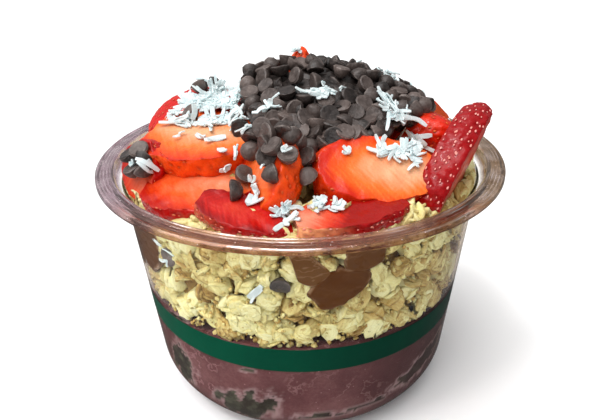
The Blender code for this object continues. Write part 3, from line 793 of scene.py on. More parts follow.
def lobe(deep, corners, seed):
    """A cushion on the wall. Its rings run from the middle of the back over the edge to the middle of
    the flat front: the depth follows a quarter circle. The outline runs straight from corner to corner,
    and is then rounded by averaging each of its points with its neighbours, and made a little uneven."""
    outline = np.array(corners, float) * (np.radians(1.0) * inner_wall(SPREAD_LEVEL), 1.0)
    outline = np.vstack([outline, outline[:1]])
    length = np.concatenate([[0.0], np.cumsum(np.linalg.norm(np.diff(outline, axis=0), axis=1))])
    steps = np.linspace(0.0, length[-1], LOBE_COLUMNS, endpoint=False)
    outline = np.stack([np.interp(steps, length, outline[:, 0]), np.interp(steps, length, outline[:, 1])], -1)
    for _ in range(9):
        outline = (np.roll(outline, 1, axis=0) + outline * 2 + np.roll(outline, -1, axis=0)) / 4
    middle = outline.mean(axis=0)
    share = LOBE_SHARES[:, None]
    back = np.concatenate([np.ones(14), [0.5], np.zeros(14)])[:, None]
    uneven = 1 + 0.035 * ripples(np.append(outline, 0 * outline[:, :1], axis=1), 5.0, seed)[:, None]
    spots = middle + share[..., None] * ((outline - middle) * uneven)[None]
    inwards = back * (0.5 + deep * np.sqrt(np.clip(1 - share**2, 0, 1)))
    inwards = inwards + (1 - back) * 0.35 * steps_between(share, 0.93, 1.0)
    radius = inner_wall(spots[..., 1]) + SPREAD_IN_WALL - inwards
    return closed_rings(round_bowl(spots[..., 0] / inner_wall(SPREAD_LEVEL), radius, spots[..., 1]))


nutty = Finish("chocolate_spread", {"IOR": 1.46, "Specular IOR Level": 0.12})
smear = nutty.cloud(7.0, detail=2.0, at=nutty.stretched((1.0, 1.0, 2.2)))
milky = (nutty.stored("milky") * 0.8 + smear * 0.5 - 0.2).clipped()
brown = nutty.mix(milky, shade(74, 36, 0), shade(100, 66, 34))
# Painted highlights: pale lines along the lobes' edges, and thin pale streaks on the paler lobes.
painted_edge_highlight = (nutty.stored("edge").rise(0.84, 0.99) * nutty.cloud(3.0).rise(0.42, 0.62) * 0.55).clipped()
painted_gloss_streak = (1 - (smear - 0.56) * (smear - 0.56) * 2500).clipped() * nutty.stored("milky") * 0.2
nutty.feed("Base Color", nutty.mix((painted_edge_highlight + painted_gloss_streak).clipped(), brown, shade(176, 142, 112)))
nutty.feed("Roughness", 0.2 + nutty.cloud(3.0) * 0.2)
nutty.relief(smear, 0.3)
edge = np.append(np.repeat(LOBE_SHARES, LOBE_COLUMNS), [0.0, 0.0])


def joined(bodies):
    """The points and faces of several bodies as one."""
    points, faces, start = [], [], 0
    for body_points, body_faces in bodies:
        points.append(body_points)
        faces += [part + start for part in body_faces]
        start += len(body_points)
    return np.concatenate(points), faces


for name, lobes in (("front", FRONT_LOBES), ("left", LEFT_LOBES)):
    bodies = [lobe(deep, corners, seed=60 + k) for k, (deep, _, corners) in enumerate(lobes)]
    held = np.repeat([paleness for _, paleness, _ in lobes], len(bodies[0][0]))
    spread = surface("spread_" + name, *joined(bodies), nutty, milky=held, edge=np.tile(edge, len(lobes)))
    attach(spread, "root")
    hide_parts("chocolate_spread_" + name)


# ---- The strawberries ---------------------------------------------------------------------------
# Fresh strawberries with the hull cut off, halved or sliced lengthwise and heaped on the granola.
# The skin is red with a seed in each dimple, and the cut faces are orange to pale, with fine fibres.

BERRY_ROWS = 88
BERRY_COLUMNS = 112
HULL_CUT = 0.05
SHOULDER_POWER = 0.45
TIP_POWER = 0.62
SEED_SPACING = 2.7
DIMPLE = 0.38
# Each piece: length, width, reach below and above its axis where it is cut flat, its middle, the way
# its tip points, the way its upper cut face looks; then ripeness, redness of the flesh, how pale its
# shoulder is, and how much the flesh pales towards the tip.
STRAWBERRIES = {
    "right_half": (36, 20, 9.0, 3.0, (19.6, -31.3, 78.0),
        (0.99, -0.05, 0.08), (0.05, -0.62, 0.78), 0.35, 0.05, 0.0, 0.95),
    "front_right_slice": (32, 14, 4.0, 1.8, (12.1, -44.0, 72.6),
        (0.953, 0.296, 0.0), (-0.05, -0.12, 0.99), 0.9, 0.85, 1.0, -3.4),
    "front_left_slice": (26, 12, 4.0, 1.5, (-13.7, -44.7, 73.4),
        (0.925, -0.33, -0.20), (0.10, -0.30, 0.95), 0.8, 1.0, 0.2, 0.0),
    "left_half": (36, 30, 9.5, 0.5, (-25.0, -16.8, 84.4),
        (0.92, -0.33, 0.0), (0.03, -0.18, 0.98), 0.0, 0.05, 0.2, 0.1),
    "low_left_slice": (31, 22, 3.0, 2.0, (-25.8, -31.5, 74.6),
        (0.93, -0.22, 0.04), (-0.03, -0.25, 0.96), 0.6, 0.5, 0.0, 0.9),
    "left_end_slice": (18, 15, 4.0, 2.5, (-41.2, -23.5, 76.2),
        (0.155, -0.62, -0.77), (-0.50, -0.55, 0.35), 0.6, 0.75, 0.0, 0.8),
    "right_end_slice": (37, 20, 5.0, 3.0, (40.6, -25.2, 78.2),
        (0.50, 0.50, 0.71), (0.80, -0.42, -0.27), 1.0, 0.8, 0.0, 0.0),
    "middle_half": (23, 18, 7.0, 3.0, (-7.7, -34.6, 79.2),
        (0.13, -0.85, -0.52), (-0.75, -0.42, 0.52), 0.05, 0.35, 0.2, 0.3),
    "right_tip": (26, 18, 8.5, 8.5, (34.5, -5.5, 78.8),
        (0.50, -0.65, 0.35), (0.30, 0.10, 0.90), 0.3, 0.5, 0.9, 0.0),
    "upper_left_half": (26, 23, 6.0, 5.0, (-33.5, 5.0, 81.0),
        (0.75, 0.35, 0.55), (-0.50, -0.45, 0.74), 0.6, 0.5, 0.0, 0.0),
    "centre_half": (32, 26, 8.0, 5.0, (3.0, -9.0, 84.5),
        (0.80, -0.30, -0.10), (0.05, -0.20, 0.97), 0.5, 0.5, 0.2, 0.0),
    "centre_right_half": (30, 24, 8.0, 4.5, (20.0, 7.0, 82.0),
        (-0.70, 0.70, 0.05), (0.25, 0.05, 0.95), 0.5, 0.3, 0.3, 0.2),
    "centre_back_half": (31, 25, 8.0, 5.0, (-6.0, 15.0, 84.5),
        (-0.85, 0.30, -0.08), (-0.05, 0.15, 0.97), 0.4, 0.2, 0.2, 0.1),
    "summit_tip": (14, 8, 3.5, 3.5, (0.5, 9.5, 94.9),
        (0.10, 0.25, 0.95), (0.10, -0.90, 0.20), 0.05, 0.3, 1.0, 0.0),
    "back_right_slice": (30, 22, 5.0, 4.0, (36.0, 21.0, 77.0),
        (-0.55, 0.80, -0.05), (0.60, 0.35, 0.70), 0.7, 0.4, 0.2, 0.3),
    "back_centre_right_slice": (32, 23, 5.0, 4.5, (14.0, 34.0, 77.5),
        (-0.95, 0.28, 0.05), (0.10, 0.55, 0.82), 0.4, 0.1, 0.3, 0.2),
    "back_centre_left_slice": (30, 22, 5.0, 4.0, (-17.0, 35.5, 76.5),
        (-0.90, -0.35, 0.0), (-0.10, 0.60, 0.78), 0.6, 0.6, 0.1, 0.1),
    "back_left_slice": (27, 20, 4.5, 4.0, (-36.5, 22.5, 77.0),
        (-0.30, -0.85, 0.10), (-0.60, 0.25, 0.75), 0.5, 0.2, 0.3, 0.4),
}
# How steeply the upper cut falls from the hull end to the tip, where it isn't level.
SLANTS = {"right_half": 0.24}
# Pieces whose upper side is still skin, pressed a little out of round.
SKIN_ABOVE = ("upper_left_half", "summit_tip", "right_tip")


def fullness(t):
    """The berry's width along its length as a share of its greatest: a power of the distance from the
    hull times a power of the distance from the tip."""
    peak = SHOULDER_POWER / (SHOULDER_POWER + TIP_POWER)
    return (t / peak) ** SHOULDER_POWER * ((1 - t) / (1 - peak)) ** TIP_POWER


def held_below(value, limit, softness):
    """The smaller of two values, with the corner between them rounded over that softness."""
    share = np.clip(0.5 + 0.5 * (limit - value) / softness, 0.0, 1.0)
    return limit * (1 - share) + value * share - softness * share * (1 - share)


def berry_axes(tip, face):
    """A matrix whose columns are the berry's own directions: to its tip, across, and out of its face."""
    along = np.array(tip, float) / np.linalg.norm(tip)
    out = np.array(face, float)
    out -= along * (out @ along)
    out /= np.linalg.norm(out)
    return np.stack([along, np.cross(out, along), out], axis=1)


def berry(name, length, width, below, above, middle, tip, face, ripe, red, pale, fade, seed):
    """A cut strawberry. Round its axis the radius is half the width times the fullness; the part above
    and below the two cuts is pressed onto them; each seed sits in a dimple shaped like a bell."""
    half = width / 2

    def pressed(x, z, radius):
        """The height of a point once the berry is cut, and 1 where it lies on a cut face."""
        low = np.maximum(-below, -0.97 * radius)
        high = np.maximum(np.minimum(above - SLANTS.get(name, 0.0) * x, 0.97 * radius), low + 0.3 * radius)
        on_cut = steps_between(low - z, -0.05, 0.45)
        soft = np.minimum(5.0, 0.8 * radius)
        if name not in SKIN_ABOVE:
            on_cut = np.maximum(on_cut, steps_between(z - high, -0.05, 0.45))
            soft = np.minimum(0.5, radius)
        return -held_below(-held_below(z, high, soft), -low, np.minimum(0.5, radius)), on_cut

    dense = np.linspace(HULL_CUT, 0.995, 400)
    area = np.cumsum(fullness(dense))
    spacing = SEED_SPACING * (1.1 - 0.4 * ripe)
    seed_count = int(2 * np.pi * half * length * fullness(dense).mean() / spacing**2)
    order = np.arange(seed_count)
    seed_t = np.interp((order + 0.5) / seed_count, area / area[-1], dense)
    dice = np.random.default_rng(700 + seed)
    seed_t = np.clip(seed_t + dice.normal(0, 0.3, seed_count) * spacing / length, 0.02, 0.99)
    seed_turn = order * np.pi * (3 - np.sqrt(5)) + seed + dice.normal(0, 0.3, seed_count) * spacing / half
    seed_x, seed_r = length * (seed_t - 0.5), half * fullness(seed_t)
    seeds = np.stack([seed_x, seed_r * np.cos(seed_turn), seed_r * np.sin(seed_turn)], -1)

    share = np.linspace(0.0, 1.0, BERRY_ROWS + 1)[:-1, None]
    t = HULL_CUT + (1 - HULL_CUT) * (0.5 - 0.5 * np.cos(np.pi * share))
    turn = circle(BERRY_COLUMNS)[None, :]
    radius = half * fullness(t)
    x = length * (t - 0.5) + 0 * turn
    skin = np.stack([x, radius * np.cos(turn), radius * np.sin(turn)], -1)
    away = np.sqrt(((skin[:, :, None, :] - seeds[None, None]) ** 2).sum(-1)).min(axis=-1)
    dimple = np.exp(-((away / 0.85) ** 2))
    scale = 1 + 0.025 * ripples(skin + seed * 37.0, 9.0, seed) - DIMPLE * dimple / np.maximum(radius, 1.0)
    scale = scale + 0.13 * ripples(skin, 2.6, seed + 9) / np.maximum(radius, 2.0)
    y = skin[..., 1] * scale
    z, cut = pressed(x, skin[..., 2] * scale, radius)
    z = z + cut * 0.14 * ripples(np.stack([x, y, 0 * y], -1), 6.0, seed + 3)
    deep = np.clip((radius - np.hypot(y, z)) / half, 0, 1)
    lines = ripples(np.stack([(x - 0.7 * np.abs(y)) * 3.0, 0.35 * y, 0.35 * x], -1), 4.0, seed + 5)

    caps = np.array([0.2, 0.5, 0.8, 0.95])[:, None]
    cap_x = x[:1] + 0.9 * (1 - caps**2) * 0.5
    rows = [np.stack([cap_x + 0 * turn, caps * y[:1], caps * z[:1]], -1), np.stack([x, y, z], -1)]
    points, faces = closed_rings(np.concatenate(rows))
    points = points @ berry_axes(tip, face).T + np.array(middle, float)

    def whole(values, cap):
        """The values for every point: those of the hull cut first, then the skin's, then the two ends."""
        return np.concatenate([np.full(len(caps) * BERRY_COLUMNS, cap), np.ravel(values + 0 * x), [cap, 0.0]])

    held = {
        "cut": whole(cut, 1.0), "deep": whole(deep, 0.6), "lines": whole(0.5 + 0.5 * lines, 0.5),
        "dimple": whole(dimple * (1 - cut), 0.0), "along": whole(t, 0.0),
    }
    even = {"ripe": ripe, "red": red, "pale": pale, "fade": fade}
    held |= {label: np.full(len(points), value) for label, value in even.items()}
    seeds[:, 2], seed_cut = pressed(seeds[:, 0], seeds[:, 2], seed_r)
    kept = (seed_cut < 0.02) & (seed_t < 0.985)
    return points, faces, held, seeds[kept], seed_t[kept], seed_turn[kept]


fruit = Finish("strawberry_flesh", {
    "IOR": 1.38, "Specular IOR Level": 0.28, "Coat Weight": 0.2, "Coat Roughness": 0.05,
    "Subsurface Weight": 0.15, "Subsurface Scale": 0.0014, "Subsurface Radius": (1.0, 0.35, 0.18),
})
cut, deep, lines = fruit.stored("cut"), fruit.stored("deep"), fruit.stored("lines")
dimple, along = fruit.stored("dimple"), fruit.stored("along")
ripeness = (fruit.stored("ripe") + (fruit.cloud(7.0) - 0.5) * 0.4 + (along - 0.5) * 0.15).clipped()
skin_colour = fruit.ramp(
    ripeness, (0.0, shade(244, 80, 14)), (0.45, shade(200, 18, 8)), (1.0, shade(150, 0, 8)),
)
shoulder = (fruit.stored("pale") * along.rise(0.5, 0.05)).clipped()
skin_colour = fruit.mix(shoulder, skin_colour, shade(240, 166, 116))
# Painted shade: the skin is darker red in the dimples round the seeds.
skin_colour = fruit.mix(dimple * 0.35, skin_colour, shade(120, 8, 6))
pith = deep * (1.1 - fruit.stored("red") * 0.6) + (lines - 0.5) * 0.1 + (fruit.cloud(5.0) - 0.5) * 0.3
pith = (pith + fruit.stored("fade") * (along - 0.35) * 0.9).clipped()
orange_flesh = fruit.ramp(
    pith, (0.0, shade(206, 34, 6)), (0.22, shade(232, 76, 14)),
    (0.5, shade(238, 112, 36)), (1.0, shade(228, 170, 128)),
)
red_flesh = fruit.ramp(
    pith, (0.0, shade(138, 2, 4)), (0.25, shade(190, 20, 12)),
    (0.6, shade(216, 70, 48)), (1.0, shade(230, 138, 112)),
)
flesh_colour = fruit.mix(fruit.stored("red"), orange_flesh, red_flesh)
fruit.feed("Base Color", fruit.mix(cut, skin_colour, flesh_colour))
fruit.feed("Roughness", 0.2 + fruit.cloud(2.0) * 0.14 + cut * 0.1)
fruit.relief(fruit.cloud(0.9, detail=3.0) * 0.6 + lines * cut * 0.1 + fruit.cloud(2.4) * 0.4, 0.3)

spokes = circle(6)
pip = np.stack([
    np.array([-0.45, 0.0, 0.5])[:, None] + 0 * spokes,
    np.array([0.8, 1.0, 0.6])[:, None] * 0.4 * np.cos(spokes),
    np.array([0.8, 1.0, 0.6])[:, None] * 0.24 * np.sin(spokes),
], -1)
pip_points, pip_faces = closed_rings(pip, (-0.62, 0, 0), (0.75, 0, 0))

solids = []
pips, pip_ripe = [], []
slope_t = np.linspace(0.06, 0.99, 200)
for k, (name, row) in enumerate(STRAWBERRIES.items()):
    length, width, _, _, middle, tip, face, ripe = row[:8]
    points, faces, held, seeds, seed_t, seed_turn = berry(name, *row, seed=k)
    solids.append((points, faces))
    piece = surface("strawberry_piece_" + name, points, faces, fruit, **held)
    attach(piece, "root")
    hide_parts("strawberry_" + name)
    axes = berry_axes(tip, face)
    seeds[:, 1:] *= (1 - 0.05 / np.maximum(np.hypot(seeds[:, 1], seeds[:, 2]), 1.0))[:, None]
    stand = turned_about(0, seed_turn - np.pi / 2)
    slope = np.gradient(width / 2 * fullness(slope_t), 0.93 / 199 * length)
    lean = np.interp(seed_t, slope_t, np.clip(slope, -1.5, 1.5))
    tip_down = turned_about(1, -np.arctan(lean))
    turns = axes[None] @ stand @ tip_down
    sizes = np.random.default_rng(k).uniform(0.4, 0.95, (len(seeds), 1, 1)) * (0.85 - 0.1 * ripe)
    pip_places = seeds @ axes.T + np.array(middle)
    placed, placed_faces = copies(pip_points[None] * sizes, pip_faces, turns, pip_places)
    pips.append((placed.reshape(-1, 3), placed_faces))
    pip_ripe.append(np.full(placed.shape[0] * placed.shape[1], ripe))

grain = Finish("strawberry_seeds", {"Roughness": 0.4, "IOR": 1.45})
pip_tone = (grain.stored("ripe") + (grain.cloud(3.0) - 0.5) * 0.8).clipped()
# The pips of riper berries are paler and pinker: partly their own colour, partly painted glints.
grain.feed("Base Color", grain.ramp(
    pip_tone, (0.0, shade(206, 74, 14)), (0.5, shade(206, 96, 40)),
    (0.8, shade(226, 120, 96)), (1.0, shade(238, 160, 150)),
))
seed_piece = surface("strawberry_seeds", *joined(pips), grain, ripe=np.concatenate(pip_ripe))
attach(seed_piece, "root")


# ---- The chocolate drops ------------------------------------------------------------------------
# Small baking drops of dark chocolate with a dusty satin skin, poured over the middle of the heap.
# They lie every way up on a core painted dark as the shade between them, and some have rolled down
# over the fruit.

DROP_RADIUS = 2.65
DROP_HEIGHT = 3.5
MOUND_TOP = (2.0, 4.0, 99.0)
MOUND_CENTRE = (8.0, -4.0)
MOUND_REACH = (24.0, 23.0, 22.5, 31.0, 31.0, 28.0, 26.0, 26.5, 26.5, 24.0, 24.0, 25.0)
MOUND_DROP = (0.0095, 0.0155)
MOUND_DROPS = 235
DROPS_APART = 5.5
# How far below the dome the middles of the drops lie, in each of two layers.
UPPER_LAYER = 1.2
LOWER_LAYER = 5.4
# Painted shade: the drops of the lower layer keep only this share of their tone, so they are darker.
LOWER_LAYER_SHADE = 0.15
# No drop stays where the food below it is higher than this.
NO_DROPS_ABOVE = 96.0
BASE_OUTWARDS = 0.5
# Drops that lie apart on the fruit, and two that slid down the wall.
STRAY_DROPS = (
    (-28.8, 6.4, 89.5), (-25.6, 8.6, 90.4), (-30.0, -8.3, 85.9), (-16.0, -10.5, 86.4),
    (-15.4, -19.0, 85.0), (-43.5, -22.0, 80.3), (-40.4, -23.5, 82.0), (-42.6, -25.0, 77.0),
    (-39.0, -27.3, 78.4), (-40.0, -26.0, 80.8), (-11.1, -27.6, 87.2), (-6.7, -32.9, 89.8),
    (-3.3, -20.4, 87.2), (-11.1, -30.1, 84.1), (-5.0, -36.5, 86.9), (0.5, -33.3, 83.0),
    (-0.1, -36.5, 80.1), (-6.7, -41.8, 82.7), (-12.7, -33.1, 78.5), (-15.7, -39.8, 76.5),
    (-9.5, -16.4, 87.9), (-7.7, -34.6, 87.8), (-2.4, -33.3, 88.3), (-8.8, -29.2, 90.1),
    (-0.9, -21.2, 85.2), (-7.7, -36.9, 85.1), (-3.6, -38.5, 85.2), (-4.5, -27.0, 87.5),
    (-12.5, -23.0, 87.0), (0.0, -27.5, 84.5), (0.5, 7.0, 97.0), (-2.5, 7.5, 97.6),
    (3.2, 7.2, 97.4), (-4.9, -32.5, 89.8), (-3.5, -30.0, 90.5), (-6.5, -26.0, 90.5),
    (-1.5, -24.5, 88.0), (-7.5, -22.5, 89.5),
)
WALL_DROPS = ((-5.2, -50.2, 57.4), (-34.6, -36.6, 58.0))

dusty = Finish("dark_chocolate", {"IOR": 1.45, "Specular IOR Level": 0.5})
bloom = dusty.cloud(2.6, detail=5.0, rough=0.6)
scuffs = dusty.cloud(0.7, detail=4.0).rise(0.52, 0.75) * 0.35
# The drops' rims are paler: partly bloom, partly painted sheen.
rim_bloom_and_sheen = dusty.stored("edge").rise(0.75, 1.0) * dusty.cloud(1.5).rise(0.4, 0.6) * 0.9
brown = dusty.mix(dusty.stored("tone"), shade(18, 12, 10), shade(82, 69, 64))
chalk_and_sheen = (bloom.rise(0.35, 0.75) * 0.45 + scuffs + rim_bloom_and_sheen) * (dusty.stored("tone") * 0.7 + 0.4)
dusty.feed("Base Color", dusty.mix(chalk_and_sheen.clipped(), brown, shade(132, 118, 112)))
dusty.feed("Roughness", 0.28 + bloom * 0.25)
dusty.relief(dusty.cloud(1.3, detail=5.0, rough=0.6), 0.35)

spokes = circle(12)
drop_radius = np.array([0.88, 1.0, 0.93, 0.66, 0.27])[:, None] * DROP_RADIUS
drop_height = np.array([0.0, 0.09, 0.4, 0.72, 0.92])[:, None] * DROP_HEIGHT
drop = np.stack([drop_radius * np.cos(spokes), drop_radius * np.sin(spokes), drop_height + 0 * spokes], -1)
drop_points, drop_faces = closed_rings(drop, (0, 0, 0.25), (0.12, 0.06, DROP_HEIGHT))
drop_points = drop_points - (0, 0, DROP_HEIGHT * 0.4)


def dome(x, y):
    """Height of the mound of drops: it falls with the square of the distance from its top."""
    return MOUND_TOP[2] - MOUND_DROP[0] * (x - MOUND_TOP[0]) ** 2 - MOUND_DROP[1] * (y - MOUND_TOP[1]) ** 2


def mound_reach(angles, margin):
    """How far the mound reaches from its middle at those angles in radians, less a margin."""
    ends = np.append(MOUND_REACH, MOUND_REACH[0])
    return np.interp(np.degrees(angles) % 360, np.linspace(0, 360, len(ends)), ends) - margin


def tree_of(bodies):
    """What a dropped thing lands on: a search tree of all the bodies' faces."""
    points, faces = joined(bodies)
    corners = [part[:, [0, k, k + 1]] for part in faces for k in range(1, part.shape[1] - 1)]
    return BVHTree.FromPolygons(points.tolist(), np.concatenate(corners).tolist())


def landing(tree, x, y, start=130.0):
    """The height of the surface below each spot, or 0 where there is none."""
    found = [tree.ray_cast(Vector((a, b, start)), Vector((0, 0, -1))) for a, b in zip(x, y)]
    return np.array([hit[0].z if hit[0] is not None else 0.0 for hit in found])


def nearest_skin(tree, spots):
    """The nearest point on the surface to each spot, and the outward direction there."""
    found = [tree.find_nearest(Vector(spot)) for spot in spots]
    return np.array([tuple(hit[0]) for hit in found]), np.array([tuple(hit[1]) for hit in found])


fruit_tree = tree_of(solids + [(core_points, core_faces)])
dice = np.random.default_rng(29)
angle = dice.uniform(0, 2 * np.pi, MOUND_DROPS)
away = np.sqrt(dice.uniform(0, 1, MOUND_DROPS)) * mound_reach(angle, 2.0)
spot = np.zeros((MOUND_DROPS, 3))
spot[:, 0] = MOUND_CENTRE[0] + away * np.sin(angle)
spot[:, 1] = MOUND_CENTRE[1] - away * np.cos(angle)
layer = np.where(np.arange(MOUND_DROPS) % 2, LOWER_LAYER, UPPER_LAYER)
# Drops that lie too close push each other apart, and stay on the dome and within its reach.
for _ in range(90):
    spot[:, 2] = dome(spot[:, 0], spot[:, 1]) - layer
    apart = spot[:, None] - spot[None]
    gap = np.linalg.norm(apart, axis=-1) + np.eye(MOUND_DROPS) * 99
    push = np.clip(DROPS_APART - gap, 0, None) / gap
    spot = spot + 0.3 * (apart * push[..., None]).sum(axis=1)
    from_middle = spot[:, :2] - MOUND_CENTRE
    far = np.linalg.norm(from_middle, axis=1)
    reach = mound_reach(np.arctan2(from_middle[:, 0], -from_middle[:, 1]), 2.0)
    spot[:, :2] = MOUND_CENTRE + from_middle * np.minimum(1.0, reach / far)[:, None]
spot[:, 2] = dome(spot[:, 0], spot[:, 1]) - layer
under = landing(fruit_tree, spot[:, 0], spot[:, 1])
spot[:, 2] = np.maximum(spot[:, 2], under + 1.6)
kept = under < NO_DROPS_ABOVE
spot, layer = spot[kept], layer[kept]
resting, leaning = nearest_skin(fruit_tree, np.array(STRAY_DROPS))
stray_spot = resting + leaning * 1.7
places = np.vstack([spot, stray_spot, WALL_DROPS])
count = len(places)
shapes = drop_points[None] * dice.uniform(0.9, 1.08, (count, 1, 3))
shapes = shapes + dice.normal(0, 0.05, (count, *drop_points.shape))
outwards = np.arctan2(places[:, 0] - MOUND_CENTRE[0], MOUND_CENTRE[1] - places[:, 1])
tipped_back = dice.uniform(0, 1, count) < BASE_OUTWARDS
heading = np.where(tipped_back, outwards + dice.normal(0, 0.7, count), dice.uniform(0, ANY_WAY, count))
tilt = np.where(tipped_back, dice.normal(-2.35, 0.4, count), np.arccos(dice.uniform(-1, 1, count)))
pose = turned_about(2, heading) @ turned_about(0, tilt) @ turned_about(2, dice.uniform(0, ANY_WAY, count))
points, faces = copies(shapes, drop_faces, pose, places)
tone = dice.uniform(0, 1, count)
tone[:len(layer)] *= np.where(layer == LOWER_LAYER, LOWER_LAYER_SHADE, 1.0)
held = np.repeat(tone, shapes.shape[1])
held_inside(points, np.where(points[..., 2] < GRANOLA_RIM, inner_wall(points[..., 2]) + 0.1, np.inf))
edges = np.tile(np.append(np.repeat([0.4, 1.0, 0.3, 0.0, 0.0], 12), [0.0, 0.0]), count)
drops = surface("chocolate_drops", points.reshape(-1, 3), faces, dusty, tone=held, edge=edges)
drops.data.set_sharp_from_angle(angle=np.radians(40.0))
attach(drops, "root")
drop_body = (points.reshape(-1, 3), faces)

turn = circle(48)[None, :]
reach = mound_reach(turn, 3.5)
share = np.linspace(0.05, 1.0, 14)[:, None]
core_x = MOUND_CENTRE[0] + share * reach * np.sin(turn)
core_y = MOUND_CENTRE[1] - share * reach * np.cos(turn)
core_bumps = 0.5 * ripples(np.stack([core_x, core_y, 0 * core_x], -1), 5.0, 9)
core_z = dome(core_x, core_y) - 3.6 - 1.2 * share**3 + core_bumps
upper = np.stack([core_x, core_y, core_z], -1)
lower = upper - np.array([0, 0, 1.0]) * (1.5 + 4.5 * (1 - share**3))[..., None]
mound_points, mound_faces = closed_rings(np.concatenate([lower, upper[::-1]]))
# Painted shade: the core under the drops has the darkest tone.
darkest = np.zeros(len(mound_points))
mound = surface("chocolate_core", mound_points, mound_faces, dusty, tone=darkest, edge=darkest)
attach(mound, "root")
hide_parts("chocolate_drop_mound")


# ---- The coconut --------------------------------------------------------------------------------
# Sweetened coconut, shredded into soft white strips, sprinkled over the fruit and the chocolate in
# loose patches. The strips curl and cross and cling where they fall.

SHRED_POINTS = 7
SHRED_THICK = 0.17
# Each patch: the middle of it on the food, its reach to the sides and up and down, how many strips,
# and the longest of them.
PATCHES = (
    ((-30.8, 2.4, 87.0), 2.0, 2.2, 20, 6.0), ((-28.9, 4.0, 88.8), 2.6, 2.6, 24, 7.0),
    ((-25.0, 4.0, 88.8), 2.6, 2.6, 24, 7.0), ((-24.9, 1.0, 87.1), 2.6, 2.6, 20, 7.0),
    ((-28.4, 0.0, 87.3), 2.6, 2.6, 22, 6.5), ((-21.5, 0.0, 88.3), 2.6, 3.5, 30, 7.0),
    ((-20.0, 6.0, 88.6), 2.6, 3.0, 24, 6.5), ((-18.5, -5.0, 88.8), 2.6, 3.0, 26, 7.0),
    ((-20.2, -6.9, 86.8), 2.6, 2.4, 18, 6.5), ((-16.0, -10.5, 90.7), 2.6, 2.4, 18, 6.5),
    ((-7.5, -18.0, 90.5), 1.6, 1.2, 9, 4.5),
    ((-35.4, -4.6, 86.3), 2.6, 2.6, 7, 6.0), ((-30.7, -11.5, 85.5), 2.6, 2.0, 11, 5.5),
    ((-27.0, -12.1, 85.7), 2.6, 2.0, 12, 5.5), ((-23.3, -12.3, 85.7), 2.6, 2.0, 13, 5.5),
    ((-19.7, -12.7, 85.7), 2.6, 2.0, 11, 5.5), ((-15.6, -17.8, 87.4), 1.5, 1.2, 6, 4.5),
    ((-11.4, -26.5, 90.8), 1.8, 1.0, 5, 4.5), ((-36.4, -4.5, 85.4), 1.4, 1.8, 5, 6.0),
    ((-32.5, 0.0, 86.6), 1.8, 2.0, 5, 6.0), ((-20.0, -21.5, 84.9), 1.2, 0.3, 2, 8.5),
    ((-25.5, -21.0, 84.8), 0.6, 0.6, 2, 3.0), ((-32.0, -19.0, 84.4), 0.6, 0.6, 2, 2.6),
    ((-18.9, -28.5, 83.5), 0.3, 0.5, 2, 2.6), ((-15.5, -29.0, 82.5), 0.3, 0.5, 2, 2.2),
    ((-16.5, -31.0, 79.4), 0.6, 0.4, 3, 2.8), ((3.6, -12.3, 94.8), 1.6, 1.5, 7, 5.5),
    ((6.3, -12.8, 94.3), 1.6, 1.2, 8, 5.5), ((9.1, -10.8, 94.8), 1.6, 1.0, 5, 5.0),
    ((6.2, -14.5, 93.2), 1.4, 1.2, 6, 5.0), ((22.9, -14.7, 90.2), 1.6, 1.8, 8, 7.0),
    ((25.3, -13.9, 88.2), 1.8, 1.8, 9, 7.5), ((27.1, -16.8, 87.4), 1.6, 1.8, 8, 8.0),
    ((22.8, -16.4, 87.9), 1.4, 1.4, 6, 6.0), ((30.2, -12.6, 83.6), 1.2, 2.0, 5, 9.0),
    ((32.4, -13.1, 81.4), 0.8, 1.5, 3, 8.0), ((21.4, -29.2, 83.1), 1.3, 1.0, 9, 4.5),
    ((24.1, -28.1, 83.2), 1.4, 1.2, 14, 5.0), ((26.6, -28.2, 82.7), 1.3, 1.2, 12, 5.0),
    ((29.1, -29.1, 81.3), 1.2, 0.8, 5, 5.5), ((31.1, -29.8, 80.4), 0.6, 0.6, 3, 5.5),
    ((24.7, 5.0, 94.4), 1.8, 1.2, 7, 5.0), ((27.5, 3.3, 93.0), 1.8, 1.2, 6, 5.0),
    ((0.6, 7.6, 101.3), 1.0, 0.6, 5, 2.6), ((-5.0, -44.9, 74.5), 1.0, 0.8, 9, 3.4),
    ((-2.6, -45.1, 73.7), 1.0, 0.8, 8, 3.2), ((-4.0, -47.4, 73.1), 0.8, 0.8, 5, 3.0),
    ((2.6, -44.5, 75.2), 1.1, 0.8, 9, 3.2), ((5.1, -43.3, 75.3), 1.1, 0.8, 10, 3.4),
    ((7.9, -43.9, 75.3), 1.1, 0.8, 10, 3.4), ((-13.9, -41.7, 76.0), 0.4, 0.4, 3, 5.5),
    ((-11.0, -36.6, 77.6), 0.4, 0.5, 3, 2.6), ((-9.3, -40.3, 78.2), 0.7, 0.5, 4, 3.0),
    ((-42.0, -25.0, 78.0), 0.4, 0.4, 3, 2.4), ((-38.3, -28.5, 78.5), 0.4, 0.4, 3, 6.5),
    ((-4.0, -39.5, 85.0), 0.5, 0.4, 2, 3.0), ((-7.6, -40.0, 85.0), 0.3, 0.3, 1, 7.0),
    ((11.9, -30.5, 82.2), 0.4, 0.4, 4, 2.0), ((-12.0, 22.0, 92.0), 8.0, 6.0, 60, 7.0),
    ((14.0, 26.0, 90.0), 8.0, 5.0, 46, 7.0), ((-31.0, 17.0, 84.0), 5.0, 5.0, 26, 6.0),
    ((34.0, 14.0, 83.0), 5.0, 5.0, 20, 6.0), ((2.0, 38.0, 82.0), 7.0, 3.0, 18, 6.0),
    ((42.0, 2.0, 79.0), 2.5, 4.0, 8, 5.0), ((-9.8, -50.5, 56.2), 0.9, 0.9, 4, 6.5),
    ((-36.5, -35.5, 60.5), 2.0, 0.7, 3, 5.0), ((-35.0, -36.5, 57.0), 1.2, 1.0, 3, 3.5),
)

dice = np.random.default_rng(5)
rows = np.concatenate([np.repeat([(*patch[0], *patch[1:])], patch[3], axis=0) for patch in PATCHES])
count = len(rows)
